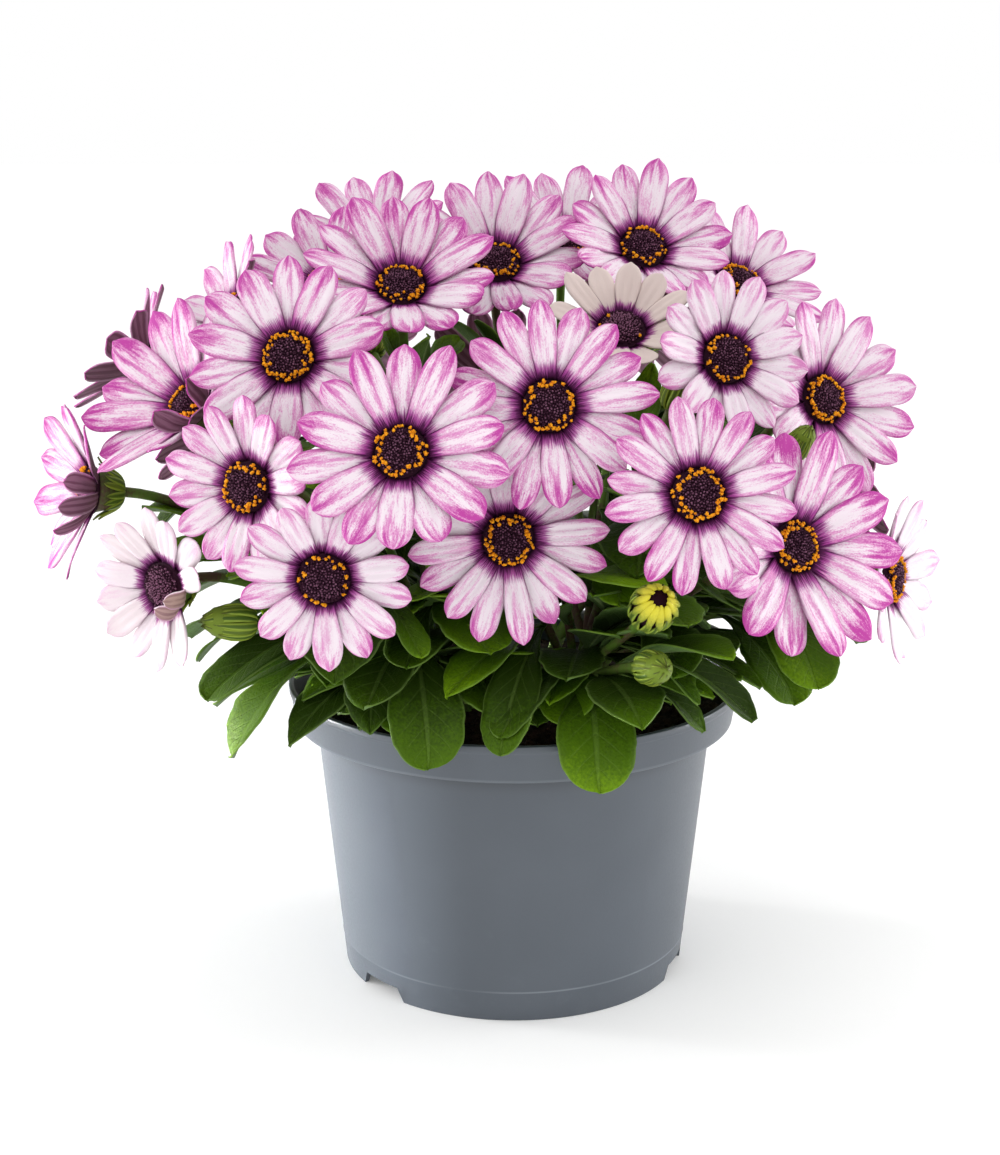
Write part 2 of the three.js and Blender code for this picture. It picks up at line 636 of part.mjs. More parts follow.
function potSolid() {
  const { footRadius, padRadius, floorRise, wall, bandHeight, bandRadius, rimRadius, height } = POT;
  const slope = floorRise / 2;
  const body = lathe(
    [
      [0, 0],
      [padRadius, 0],
      [padRadius + slope, floorRise],
      [footRadius - wall, floorRise],
      [footRadius - wall, 0],
      [footRadius, 0],
      [bodyRadius(bandHeight), bandHeight],
      [bandRadius, bandHeight],
      [rimRadius, height],
      [rimRadius - wall, height],
      [bandRadius - wall, insideTop],
      [bodyRadius(insideTop) - wall, insideTop],
      [bodyRadius(insideBottom) - wall, insideBottom],
      [padRadius + slope - wall / 2, insideBottom],
      [padRadius - wall / 2, wall],
      [0, wall],
    ],
    POT.segments,
  );
  return body.subtract(fuse([...notchSolids(), ...drainSolids()]));
}

// Cutters for the skirt's drain notches: wider at the ground than at their top.
function notchSolids() {
  const { notchWidth, notchHeight, footRadius, notches } = POT;
  const half = notchWidth / 2;
  const outline = new THREE.Shape([
    new THREE.Vector2(-half, -1),
    new THREE.Vector2(half, -1),
    new THREE.Vector2(0.72 * half, notchHeight),
    new THREE.Vector2(-0.72 * half, notchHeight),
  ]);
  const cutter = new THREE.ExtrudeGeometry(outline, { depth: 12, bevelEnabled: false });
  return notches.map((angle) =>
    toSolid(cutter)
      .rotate([90, 0, 90])
      .translate([footRadius - 6, 0, 0])
      .rotate([0, 0, angle]),
  );
}

function drainSolids() {
  const { drains, drainRadius, padRadius, footRadius, skirtHeight } = POT;
  const hole = new THREE.CylinderGeometry(drainRadius, drainRadius, 4 * skirtHeight, 8);
  const ring = (padRadius + footRadius) / 2 + 1;
  return Array.from({ length: drains }, (_, i) =>
    toSolid(hole)
      .rotate([90, 0, 0])
      .translate([ring, 0, 0])
      .rotate([0, 0, (360 * (i + 0.5)) / drains]),
  );
}

// The compost, domed and lumpy on top, with a plain hole for each stem.
function soilSolid() {
  const { padRadius, floorRise, wall, bandRadius } = POT;
  const { height, crown, lump, segments } = SOIL;
  const flat = Math.cos(Math.PI / POT.segments); // a faceted wall's distance from the axis, per radius
  const inside = (radius) => radius * flat - GAP;
  const edge = inside(bandRadius - wall);
  const top = [0.75, 0.5, 0.25].map((share) => [share * edge, height + crown * (1 - share * share)]);
  const geometry = new THREE.LatheGeometry(
    [
      [0, wall + GAP],
      [padRadius - wall, wall + GAP],
      [padRadius + floorRise / 2 - wall, insideBottom + GAP],
      [inside(bodyRadius(insideBottom) - wall), insideBottom + GAP],
      [inside(bodyRadius(insideTop) - wall), insideTop + GAP],
      [edge, insideTop + GAP],
      [edge, height],
      ...top,
      [0, height + crown],
    ].map(([r, z]) => new THREE.Vector2(r, z)),
    segments,
  );
  const { position } = geometry.attributes;
  for (let i = 0; i < position.count; i++) {
    const [x, z, y] = [position.getX(i), position.getY(i), position.getZ(i)];
    const ripple = Math.sin(0.31 * x + 0.11 * y) * Math.cos(0.27 * y - 0.07 * x);
    if (z > height + 0.1) position.setY(i, z + lump * ripple);
  }
  const holeRadius = STEM.radius + 2 * GAP;
  const hole = new THREE.CylinderGeometry(holeRadius, holeRadius, 2 * STEM.depth, 8);
  const holes = SHOOTS.map(({ foot: [x, y] }) =>
    toSolid(hole)
      .rotate([90, 0, 0])
      .translate([x, y, height - GAP]),
  );
  return toSolid(geometry).rotate([90, 0, 0]).subtract(fuse(holes));
}

// ---------------------------------------------------------------- the scene graph

const group = new THREE.Group();

function addPiece(name, solid, finish) {
  const material = new THREE.MeshStandardMaterial({ metalness: 0, ...finish });
  const mesh = new THREE.Mesh(toGeometry(solid), material);
  mesh.name = name;
  group.add(mesh);
}

addPiece("pot", potSolid(), FINISH.pot);
addPiece("soil", soilSolid(), FINISH.soil);
for (const shoot of SHOOTS) addPiece(shoot.name, shootSolid(shoot), FINISH.green);
for (const bloom of BLOOMS) {
  const isPlain = bloom.rays < 14 && !bloom.curled;
  const form = isPlain ? SIMPLE_RAY_FORM : RAY_FORM;
  const rays = toSolid(raysGeometry(bloom, form, bloom.whole));
  addPiece(bloom.whole ? bloom.name : `${bloom.name}_rays`, rays, FINISH[bloom.tint ?? "pink"]);
  if (!bloom.whole) addPiece(`${bloom.name}_disc`, discSolid(bloom), FINISH.disc);
}

export default group;
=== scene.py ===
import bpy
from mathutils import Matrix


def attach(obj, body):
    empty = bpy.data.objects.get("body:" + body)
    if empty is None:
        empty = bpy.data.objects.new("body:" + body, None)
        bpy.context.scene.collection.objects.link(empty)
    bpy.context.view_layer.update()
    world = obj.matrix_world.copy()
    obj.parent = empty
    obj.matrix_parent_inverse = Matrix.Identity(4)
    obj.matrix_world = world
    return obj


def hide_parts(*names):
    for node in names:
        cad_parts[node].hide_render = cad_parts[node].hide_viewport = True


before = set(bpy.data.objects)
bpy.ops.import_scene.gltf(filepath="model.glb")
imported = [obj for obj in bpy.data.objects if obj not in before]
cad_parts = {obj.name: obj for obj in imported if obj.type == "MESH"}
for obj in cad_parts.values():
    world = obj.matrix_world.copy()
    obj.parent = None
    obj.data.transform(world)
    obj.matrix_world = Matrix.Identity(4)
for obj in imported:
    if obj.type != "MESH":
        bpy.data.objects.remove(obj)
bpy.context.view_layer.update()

from math import atan2, cos, degrees, exp, hypot, pi, radians, sin, sqrt, tau

import bmesh
import bpy
import numpy as np
from mathutils import Matrix, Vector, noise

# A potted Cape daisy. The plant is grown here from the same numbers and the same seeded draws as the CAD
# solids, in millimetres, and each mesh is scaled to metres as it is finished. The front is -Y.

gap = 0.3  # between the compost and the pot
wave = 6.28  # about a whole turn, for ripples
pot = {
    "foot": 50.5, "skirt": 6, "shoulder": 58.1, "bandHeight": 75.2, "band": 64.2, "rim": 66, "height": 86,
    "wall": 1.4, "pad": 26, "floorRise": 4.5, "notches": (-139, -19, 101), "notchWidth": 19, "notchHeight": 4.2,
    "drains": 6, "drainRadius": 3, "steps": 160, "bevel": 0.35, "crease": 32, "seam": 8.2, "ridge": 0.16,
}
# Of the crumbs, the share of grains are about round and the others are long fibres.
soil = {"height": 79.5, "crown": 2.5, "rings": 44, "steps": 120, "crumbs": 1500, "crumb": (0.25, 1.1),
        "grain": (0.8, 1.3), "fibre": (2.2, 4.5), "grains": 0.8, "seed": 7}
core = {"radius": 7.3, "half": 0.8}
# From lean to roll: how far a ray may differ from the others, either way.
ray = {"level": 1.5, "droop": -12, "halfShare": 0.165, "crowdedSlim": 0.86, "curledSlim": 0.55, "curlStep": 14,
       "steps": 6, "lean": 0.8, "bend": 6, "length": 0.05, "half": 0.06, "swing": 0.08, "roll": 6}
cup = {"depth": 9}
stalk = {"radius": 1.2, "tries": 80, "stations": (0, 0.3, 0.6), "bow": 1.4, "leave": 0.32, "arrive": 0.3, "steps": 24}
leafDraw = {"length": (30, 46), "slope": (-30, 30), "arch": (14, 30), "halfShare": (0.19, 0.24), "tries": 900,
            "lower": 0.6, "fan": 75}
room = {"ray": 3.8, "head": 7, "stalk": 1.8, "leaf": 2.2}

# at, face (azimuth and elevation in degrees), reach, rays, cup, lift, shoot, the share of the outer florets that are
# open, how much colour the rays carry, and the kind: a whole bloom is one node, and a young one is white.
bloomRows = [
    ((-58, -54, 187), (-8, 20), 27, 14, 18, -2, 0, 0.95, 0.85, ""),
    ((-31, -14, 201), (2, 46), 28.5, 14, 36, 0, 0, 0.6, 0.9, ""),
    ((-5, 12, 205), (4, 42), 28, 14, 34, 0, 1, 0.6, 0.8, ""),
    ((37, 15, 209), (12, 40), 26.6, 14, 34, 0, 1, 0.6, 0.85, ""),
    ((29, -22, 190), (2, 50), 21.5, 12, 36, 0, 1, 0.05, 0.02, "young"),
    ((55, -42, 185), (22, 16), 23.5, 14, 26, 2, 1, 0.55, 0.5, "white"),
    ((85, -15, 170), (30, 20), 28, 14, 24, 2, 3, 0.9, 0.75, ""),
    ((67, 32, 197), (34, 46), 26.5, 12, 32, 0, 3, 0.6, 0.7, ""),
    ((8, -76, 178), (4, 16), 26.5, 16, 16, 2, 1, 0.7, 0.95, ""),
    ((-28, -86, 168), (-6, 26), 27.5, 14, 20, 0, 0, 0.65, 0.9, ""),
    ((44, -88, 158), (6, 20), 24.5, 16, 16, 2, 1, 0.7, 0.85, ""),
    ((-2, -74, 144), (6, 2), 26, 16, 12, -2, 1, 0.75, 0.72, ""),
    ((-47.5, -85, 136.5), (-2, -6), 22.8, 14, 20, -4, 0, 0.3, 0.58, ""),
    ((-67.5, -69.5, 156.5), (-28, 6), 23, 14, 24, 0, 0, 0.6, 0.7, ""),
    ((-87, -32, 171), (-46, 34), 31, 14, 36, 0, 2, 1, 1.05, ""),
    ((-117, -22, 146), (-66, 8), 27, 12, 32, 0, 2, 0.6, 0.9, ""),
    ((-92, -55, 127), (-36, 0), 22.5, 14, 28, 0, 0, 0.02, 0.2, "young"),
    ((-109, 15, 177), (-90, 34), 24.5, 12, 34, 0, 2, 0.7, 0.8, "whole"),
    ((-54, 23, 198), (-22, 44), 26, 12, 34, 0, 2, 0.7, 0.9, ""),
    ((-42, 50, 208), (-10, 52), 26.5, 12, 34, 0, 4, 0.7, 0.8, "whole"),
    ((16, 48, 208), (8, 52), 27, 12, 34, 0, 5, 0.7, 0.8, "whole"),
    ((71, -66, 140), (30, 18), 31.5, 14, 24, 0, 1, 1, 1, ""),
    ((104, -26, 122), (60, 4), 25, 12, 24, 0, 3, 0.7, 0.3, "white"),
    ((-81, 5, 191), (-70, 34), 25, 12, 30, 0, 2, 0.7, 0.8, "whole"),
    ((42, 78, 178), (152, 34), 27, 12, 24, 0, 5, 0.7, 0.8, "whole"),
    ((-6, 88, 160), (182, 24), 27, 12, 24, 0, 5, 0.7, 0.8, "whole"),
    ((-48, 76, 176), (-150, 32), 27, 12, 24, 0, 4, 0.7, 0.8, "whole"),
    ((82, 57, 162), (122, 30), 27, 12, 24, 0, 5, 0.7, 0.8, "whole"),
    ((-90, 48, 152), (-122, 22), 26, 12, 24, 0, 4, 0.7, 0.8, "whole"),
    ((98, 16, 138), (92, 14), 25, 12, 24, 0, 3, 0.7, 0.8, "whole"),
]
curledRays = {
    15: [(-64, 14), (-38, 44), (-12, 30), (14, 38), (40, 20)],
    16: [(-30, 30), (0, 60), (30, 30)],
    17: [(-34, 112), (-8, 122)],
}
shootRows = [
    ("front_left", (-13, -20), (-24, -34, 104), 101, 6),
    ("front_right", (13, -20), (22, -33.6, 104), 102, 5),
    ("left", (-25, 2), (-42, 2, 104), 103, 11),
    ("right", (25, 2), (42, 2, 104), 104, 11),
    ("back_left", (-12, 20), (-24, 33.6, 104), 105, 9),
    ("back_right", (12, 20), (24, 34, 104), 106, 9),
]
budRows = [
    ((44, -40, 178), (40, 62), 5, 1, "green"),
    ((34, -88, 130), (10, 30), 6, 1, "opening"),
    ((35, -84, 113), (20, 14), 5, 1, "green"),
    ((-76, -58, 118), (-70, 6), 5.5, 0, "green"),
    ((76, -43, 164), (30, 50), 4, 3, "green"),
]
# The head whose stalk a leaf grows on, the node of that stalk, its tip, half its width and its arch.
leafRows = [
    ("bud_3", 1, (22, -76, 77), 9.5, 38), ("bloom_12", 1, (-4, -78, 88), 6.5, 26),
    ("bloom_13", 1, (-23, -75, 83), 9, 30), ("bud_2", 1, (-4, -76, 92), 5.5, 30),
    ("bud_2", 1, (39, -76, 119), 6, 20), ("bud_3", 2, (50, -62, 89), 6, 26),
    ("bloom_22", 1, (59, -52, 109), 6, 16), ("bud_3", 1, (61, -50, 100), 7, 18),
    ("bloom_22", 1, (67, -45, 96), 6, 18), ("bud_2", 2, (48, -66, 98), 3.2, 20),
    ("bloom_22", 2, (76, -44, 111), 4.5, 14), ("bud_4", 2, (-76, -56, 80), 7.5, 26),
    ("bud_4", 1, (-60, -62, 85), 7.5, 30), ("bloom_13", 1, (-39, -76, 100), 8, 20),
    ("bloom_10", 1, (-33, -66, 102), 8, 16), ("bloom_12", 1, (-18, -70, 101), 7, 18),
    ("bloom_17", 2, (-88, -32, 100), 5.5, 18), ("bloom_17", 1, (-83, -35, 88), 6.5, 22),
    ("bloom_17", 2, (-92, -18, 103), 6, 18), ("bloom_13", 2, (-24, -74, 113), 4, 20),
    ("bloom_11", 1, (20, -64, 127), 6, 12), ("bloom_02", 2, (-24, -8, 187), 5, 8),
    ("bloom_04", 2, (21, 22, 199), 5, 8),
]


def seededRandom(seed):  # the same numbers from 0 to 1 on every run
    state = [seed & 0xFFFFFFFF]

    def draw():
        state[0] = (state[0] + 0x6D2B79F5) & 0xFFFFFFFF
        t = ((state[0] ^ (state[0] >> 15)) * (1 | state[0])) & 0xFFFFFFFF
        t = ((t + (((t ^ (t >> 7)) * (61 | t)) & 0xFFFFFFFF)) & 0xFFFFFFFF) ^ t
        return (t ^ (t >> 14)) / 4294967296

    return draw


def between(random, limits):
    return limits[0] + (limits[1] - limits[0]) * random()


def clamp(value, low=0.0, high=1.0):
    return max(low, min(high, value))


def smooth(value, low, high):
    t = clamp((value - low) / (high - low))
    return t * t * (3 - 2 * t)


def unit(v):
    return v / np.linalg.norm(v)


class Curve:  # a Bezier line through space
    def __init__(self, *points):
        self.points = np.array(points, float)

    def at(self, share):
        points = self.points
        while len(points) > 1:
            points = points[:-1] * (1 - share) + points[1:] * share
        return points[0]


class Blade:  # a ray or a leaf: it leaves root along out, and its rise above out turns evenly on the way
    def __init__(self, root, out, up, length, half, rise, roll=0.0):
        self.root, self.out, self.up, self.length, self.half = root, out, up, length, half
        self.rise, self.roll = [radians(angle) for angle in rise], radians(roll)
        self.across = np.cross(up, out)

    def middle(self, share):  # a point on its midline
        start, turn = self.rise[0], self.rise[1] - self.rise[0]
        if abs(turn) < 1e-6:
            x, z = share * cos(start), share * sin(start)
        else:
            end = start + turn * share
            x, z = (sin(end) - sin(start)) / turn, (cos(start) - cos(end)) / turn
        return self.root + self.length * (x * self.out + z * self.up)

    def frame(self, share):  # the way along, across and out of the upper face
        angle = self.rise[0] + (self.rise[1] - self.rise[0]) * share
        along = cos(angle) * self.out + sin(angle) * self.up
        turn = self.roll * share
        side = cos(turn) * self.across + sin(turn) * np.cross(along, self.across)
        return along, side, np.cross(along, side)

    def steps(self, count):  # the points that the CAD source steps through
        points = [self.root]
        for i in range(count):
            angle = self.rise[0] + (self.rise[1] - self.rise[0]) * (i + 0.5) / count
            stride = self.length / count
            points.append(points[-1] + stride * cos(angle) * self.out + stride * sin(angle) * self.up)
        return points


def leafBlade(root, tip, half, arch):
    chord = tip - root
    out = unit(np.array([chord[0], chord[1], 0.0]))
    slope = degrees(atan2(chord[2], hypot(chord[0], chord[1])))
    length = np.linalg.norm(chord) * radians(arch) / sin(radians(arch))
    return Blade(root, out, np.array([0.0, 0.0, 1.0]), length, half, (slope + arch, slope - arch))


class Head:  # a bloom or a bud, with its own frame: x to its right, y to its top, z out of its face
    def __init__(self, name, at, face, reach, shoot, back):
        azimuth, elevation = radians(face[0]), radians(face[1])
        self.name, self.at, self.reach, self.shoot, self.back = name, np.array(at, float), reach, shoot, back
        self.right = np.array([cos(azimuth), sin(azimuth), 0.0])
        flat = cos(elevation)
        self.face = np.array([flat * sin(azimuth), -flat * cos(azimuth), sin(elevation)])
        self.top = np.cross(self.face, self.right)

    def place(self):  # from the head's own frame to the plant's
        turn = Matrix([list(self.right), list(self.top), list(self.face)]).transposed().to_4x4()
        return Matrix.Translation(Vector(self.at)) @ turn


def raysOf(bloom, seed):
    random = seededRandom(seed)
    vary = lambda name: (2 * random() - 1) * ray[name]
    spacing = 360 / bloom.rays
    bloom.start = spacing * random()
    rootRadius = core["radius"] * cos(pi / bloom.rays)
    blades = []
    for i in range(bloom.rays):
        clock = radians(bloom.start + spacing * i)
        isHigh = i % 2 == 0
        near = cos(radians(spacing / 2))
        curl = next((bend for angle, bend in bloom.curled if cos(radians(angle) - clock) > near), None)
        level = ray["level"] if isHigh else -ray["level"]
        lean = bloom.cup + bloom.lift * sin(clock) + level + vary("lean")
        step = ray["curlStep"] if isHigh else -ray["curlStep"]
        bend = (ray["droop"] if curl is None else curl + step) + vary("bend")
        length = (bloom.reach - rootRadius) * (1 + vary("length"))
        slim = ray["curledSlim"] if curl is not None else ray["crowdedSlim"] if bloom.rays > 14 else 1
        half = ray["halfShare"] * bloom.reach * (1 + vary("half")) * slim
        out = cos(clock) * bloom.right + sin(clock) * bloom.top
        root = bloom.at + rootRadius * out + (0.75 if isHigh else -0.25) * core["half"] * bloom.face
        swing = radians(spacing * vary("swing"))
        out = cos(swing) * out + sin(swing) * np.cross(bloom.face, out)
        blade = Blade(root, out, bloom.face, length, half, (lean, lean + bend), vary("roll"))
        blade.curled = curl is not None
        blades.append(blade)
    return blades


class Room:  # what is taken, as balls that each have an owner
    def __init__(self):
        self.points, self.radii, self.owners = np.zeros((0, 3)), np.zeros(0), []

    def take(self, points, radius, owner):
        self.points = np.vstack([self.points, points])
        self.radii = np.append(self.radii, [radius] * len(points))
        self.owners += [owner] * len(points)

    def isClear(self, points, radius, owners=(), share=1.0):
        others = np.array([owner not in owners for owner in self.owners])
        gaps = np.array(points)[:, None] - self.points[others][None]
        return bool((np.square(gaps).sum(2) > np.square(share * (radius + self.radii[others]))[None]).all())


def leafPoints(blade):
    points = []
    for i, middle in enumerate(blade.steps(ray["steps"])):
        width = 0.7 * blade.half * min(1, 0.3 + i / ray["steps"])
        points += [middle + shift * blade.across for shift in (-width, 0, width)] if i else []
    return points


def isOffPot(point):
    return point[2] > pot["height"] + 3 or hypot(point[0], point[1]) > pot["rim"] + 3


def stalkCurve(head, stem, share, random, taken):
    start, end = stem.at(share), head.at - head.back * head.face
    reach = np.linalg.norm(end - start)
    toward = (end - start) / reach
    for i in range(stalk["tries"]):
        bow = np.array([random() - 0.5, random() - 0.5, random() - 0.5]) * stalk["bow"] * reach * i / stalk["tries"]
        curve = Curve(start, start + stalk["leave"] * reach * toward + bow,
                      end - stalk["arrive"] * reach * head.face + 0.6 * bow, end)
        points = [curve.at(k / stalk["steps"]) for k in range(4, stalk["steps"])]
        if taken.isClear(points, room["stalk"], (head.shoot, head.name)):
            taken.take(points, room["stalk"], head.shoot)
            return curve
    raise RuntimeError(f"no way through for the stalk of {head.name}")


def drawLeaf(random, stalks, stations):
    chosen = stalks[int(random() * len(stalks))]
    root = chosen.at(stations[0] if random() < leafDraw["lower"] else stations[1])
    bearing = atan2(root[1], root[0]) + radians(leafDraw["fan"]) * (2 * random() - 1)
    length = between(random, leafDraw["length"])
    slope = radians(between(random, leafDraw["slope"]))
    flat = length * cos(slope)
    tip = root + np.array([flat * cos(bearing), flat * sin(bearing), length * sin(slope)])
    half = length * between(random, leafDraw["halfShare"])
    return leafBlade(root, tip, half, between(random, leafDraw["arch"]))


def growLeaves(random, blades, wanted, tries, owner, lines, stations, radius, share=1.0):  # until all wanted stand
    for _ in range(tries):
        if len(blades) == wanted:
            return
        blade = drawLeaf(random, lines, stations)
        points = leafPoints(blade)
        if all(isOffPot(point) for point in points) and taken.isClear(points, radius, (), share):
            taken.take(points, room["leaf"], owner)
            blades.append(blade)


def headNamed(name):
    return next(head for head in heads if head.name == name)


taken = Room()
blooms, buds = [], []
for i, (at, face, reach, rays, lean, lift, shoot, pollen, pink, kind) in enumerate(bloomRows, 1):
    bloom = Head(f"bloom_{i:02d}", at, face, reach, shoot, cup["depth"])
    bloom.rays, bloom.cup, bloom.lift, bloom.number = rays, lean, lift, i
    bloom.pollen, bloom.pink, bloom.kind = pollen, pink, kind
    bloom.curled = curledRays.get(i, [])
    bloom.blades = raysOf(bloom, i)
    for blade in bloom.blades:
        taken.take(blade.steps(ray["steps"])[1:], room["ray"], bloom.name)
    taken.take([bloom.at], room["head"], bloom.name)
    blooms.append(bloom)
for i, (at, face, reach, shoot, kind) in enumerate(budRows, 1):
    bud = Head(f"bud_{i}", at, face, reach, shoot, 1.5 * reach)
    bud.kind = kind
    taken.take([bud.at], reach + 1, shoot)
    buds.append(bud)

heads = blooms + buds
shoots = []
for i, (name, foot, top, seed, leaves) in enumerate(shootRows):
    start = np.array([foot[0], foot[1], pot["height"] - 1.0])
    shoot = {"name": name, "foot": foot, "seed": seed, "leaves": leaves}
    shoot["stem"] = Curve(start, start + [0, 0, 7], top)
    shoot["heads"] = sorted((head for head in heads if head.shoot == i), key=lambda head: head.at[2])
    random = seededRandom(seed)
    for k, head in enumerate(shoot["heads"]):
        head.stalk = stalkCurve(head, shoot["stem"], 0.35 + 0.6 * k / (len(shoot["heads"]) - 1), random, taken)
    shoot["blades"] = []
    shoots.append(shoot)

for on, node, tip, half, arch in leafRows:
    head = headNamed(on)
    blade = leafBlade(head.stalk.at(stalk["stations"][node]), np.array(tip, float), half, arch)
    shoots[head.shoot]["blades"].append(blade)
    taken.take(leafPoints(blade), room["leaf"], head.shoot)

for i, shoot in enumerate(shoots):
    shoot["stalks"] = [head.stalk for head in shoot["heads"]]
    growLeaves(seededRandom(shoot["seed"] + 50), shoot["blades"], len(shoot["blades"]) + shoot["leaves"],
               leafDraw["tries"], i, shoot["stalks"], stalk["stations"][1:], room["leaf"])
print("grown:", [(shoot["name"], len(shoot["blades"])) for shoot in shoots])

# Leaves that the solids are too few for: they fill in between, and the lowest stand on the stems near the soil.
moreLeaves = {"front_left": (26, 16), "front_right": (26, 16), "left": (15, 9), "right": (15, 9),
              "back_left": (14, 9), "back_right": (14, 9), "high": 8, "tries": 420, "clear": 0.9, "share": 0.5,
              "between": (0.16, 0.45), "onStem": (0.35, 0.85), "onTop": (0.3, 0.58)}
# Young leaves between the stalks of the top blooms: the head, the share of its stalk, the tip, half the width and
# the arch.
youngLeaves = [
    ("bloom_03", 0.58, (-21, 12, 191), 6.5, 16), ("bloom_03", 0.64, (-11, 14, 189), 6, 12),
    ("bloom_02", 0.6, (-15.5, 2, 185), 6.5, 18), ("bloom_02", 0.66, (-37, 0, 189), 5, 12),
    ("bud_1", 0.6, (38, -20, 181), 4.5, 12), ("bloom_04", 0.7, (44, 16, 190), 5, 12),
]
for i, shoot in enumerate(shoots):
    random = seededRandom(shoot["seed"] + 150)
    filling, low = moreLeaves[shoot["name"]]
    shoot["more"] = []
    for on, share, tip, half, arch in youngLeaves:
        head = headNamed(on)
        if head.shoot == i:
            shoot["more"].append(leafBlade(head.stalk.at(share), np.array(tip, float), half, arch))
            taken.take(leafPoints(shoot["more"][-1]), room["leaf"], i)
    filling += len(shoot["more"])
    for wanted, lines, stations in (
            (filling, shoot["stalks"], "between"), (filling + low, [shoot["stem"]], "onStem"),
            (filling + low + moreLeaves["high"], shoot["stalks"], "onTop")):
        growLeaves(random, shoot["more"], wanted, moreLeaves["tries"], i, lines, moreLeaves[stations],
                   moreLeaves["clear"], moreLeaves["share"])
print("filled in:", [(shoot["name"], len(shoot["more"])) for shoot in shoots])


def colour(code):  # a screen colour such as "d8a0c8" as the shader's own numbers
    parts = [int(code[i:i + 2], 16) / 255 for i in (0, 2, 4)]
    return [c / 12.92 if c < 0.04045 else ((c + 0.055) / 1.055) ** 2.4 for c in parts] + [1]


class Value:  # a shader socket that takes part in sums like a number
    def __init__(self, finish, socket):
        self.finish, self.socket = finish, socket

    def sum(self, operation, first, second):
        return self.finish.node("Math", {"operation": operation}, {0: first, 1: second})

    def __add__(self, other):
        return self.sum("ADD", self, other)

    def __radd__(self, other):
        return self.sum("ADD", other, self)

    def __sub__(self, other):
        return self.sum("SUBTRACT", self, other)

    def __rsub__(self, other):
        return self.sum("SUBTRACT", other, self)

    def __mul__(self, other):
        return self.sum("MULTIPLY", self, other)

    def __rmul__(self, other):
        return self.sum("MULTIPLY", other, self)

    def __abs__(self):
        return self.sum("ABSOLUTE", self, 0)


class Finish:  # a material in the colours of one dictionary, whose nodes are all added in one way
    def __init__(self, name, colours, **settings):
        self.colours, self.base = colours, None
        self.material = bpy.data.materials.new(name)
        self.material.use_nodes = True
        self.tree = self.material.node_tree
        self.shader = self.tree.nodes["Principled BSDF"]
        for socket, value in settings.items():
            self.shader.inputs[socket.replace("_", " ")].default_value = value

    def node(self, kind, settings=None, sockets=None, output=0):
        made = self.tree.nodes.new("ShaderNode" + kind)
        for name, value in (settings or {}).items():
            setattr(made, name, value)
        for name, value in (sockets or {}).items():
            self.feed(made.inputs[name], value)
        return Value(self, made.outputs[output])

    def feed(self, socket, value):
        if isinstance(value, Value):
            self.tree.links.new(value.socket, socket)
        else:
            socket.default_value = colour(value) if isinstance(value, str) else value

    def ground(self, factor, first, second):
        self.base = self.mix(factor, self.colours[first], self.colours[second])

    def over(self, factor, name):  # lays one more colour over those before it
        self.base = self.mix(factor, self.base, self.colours[name])

    def paint(self, roughness=None, height=None, strength=0.3, distance=0.0003):
        self.feed(self.shader.inputs["Base Color"], self.base)
        if roughness is not None:
            self.feed(self.shader.inputs["Roughness"], roughness)
        if height is not None:
            bump = self.node("Bump", {}, {"Strength": strength, "Distance": distance, "Height": height})
            self.feed(self.shader.inputs["Normal"], bump)

    def mix(self, factor, first, second):
        return self.node("Mix", {"data_type": "RGBA"}, {0: factor, 6: first, 7: second}, 2)

    def between(self, value, low, high):  # 0 below low and 1 above high, or the other way round
        return self.node("MapRange", {"interpolation_type": "SMOOTHSTEP"}, {0: value, 1: low, 2: high})

    def noise(self, vector, scale, detail=3.0, roughness=0.55):
        return self.node("TexNoise", {}, {"Vector": vector, "Scale": scale, "Detail": detail, "Roughness": roughness})

    def vector(self, x, y, z):
        return self.node("CombineXYZ", {}, {0: x, 1: y, 2: z})

    def along(self):  # across and along a blade, both from 0 to 1, and how near its edge
        place = self.node("UVMap", {"uv_map": "UVMap"})
        u, v = [self.node("SeparateXYZ", {}, {0: place}, output) for output in (0, 1)]
        return u, v, abs(u - 0.5) * 2

    def ridges(self, u):  # three fine ribs along a ray
        return self.node("Math", {"operation": "COSINE"}, {0: (u - 0.5) * 18.85})

    def place(self):
        return self.node("TexCoord", {}, {}, "Object")

    def kept(self, name):  # a number that each blade or floret carries
        return self.node("Attribute", {"attribute_name": name}, {}, "Fac")


# Colours of the upper side of the rays, from the heart of the bloom outwards, and of their dusky backs.
petalColours = {"heart": "210618", "violet": "4a0c42", "feather": "982888", "magenta": "bd449f", "rose": "dd93c6",
                "white": "f2e6ee", "cream": "dfcec8", "back": "94667f", "backStripe": "67394f", "backPale": "b99c8f",
                "backEdge": "d7a6c8"}


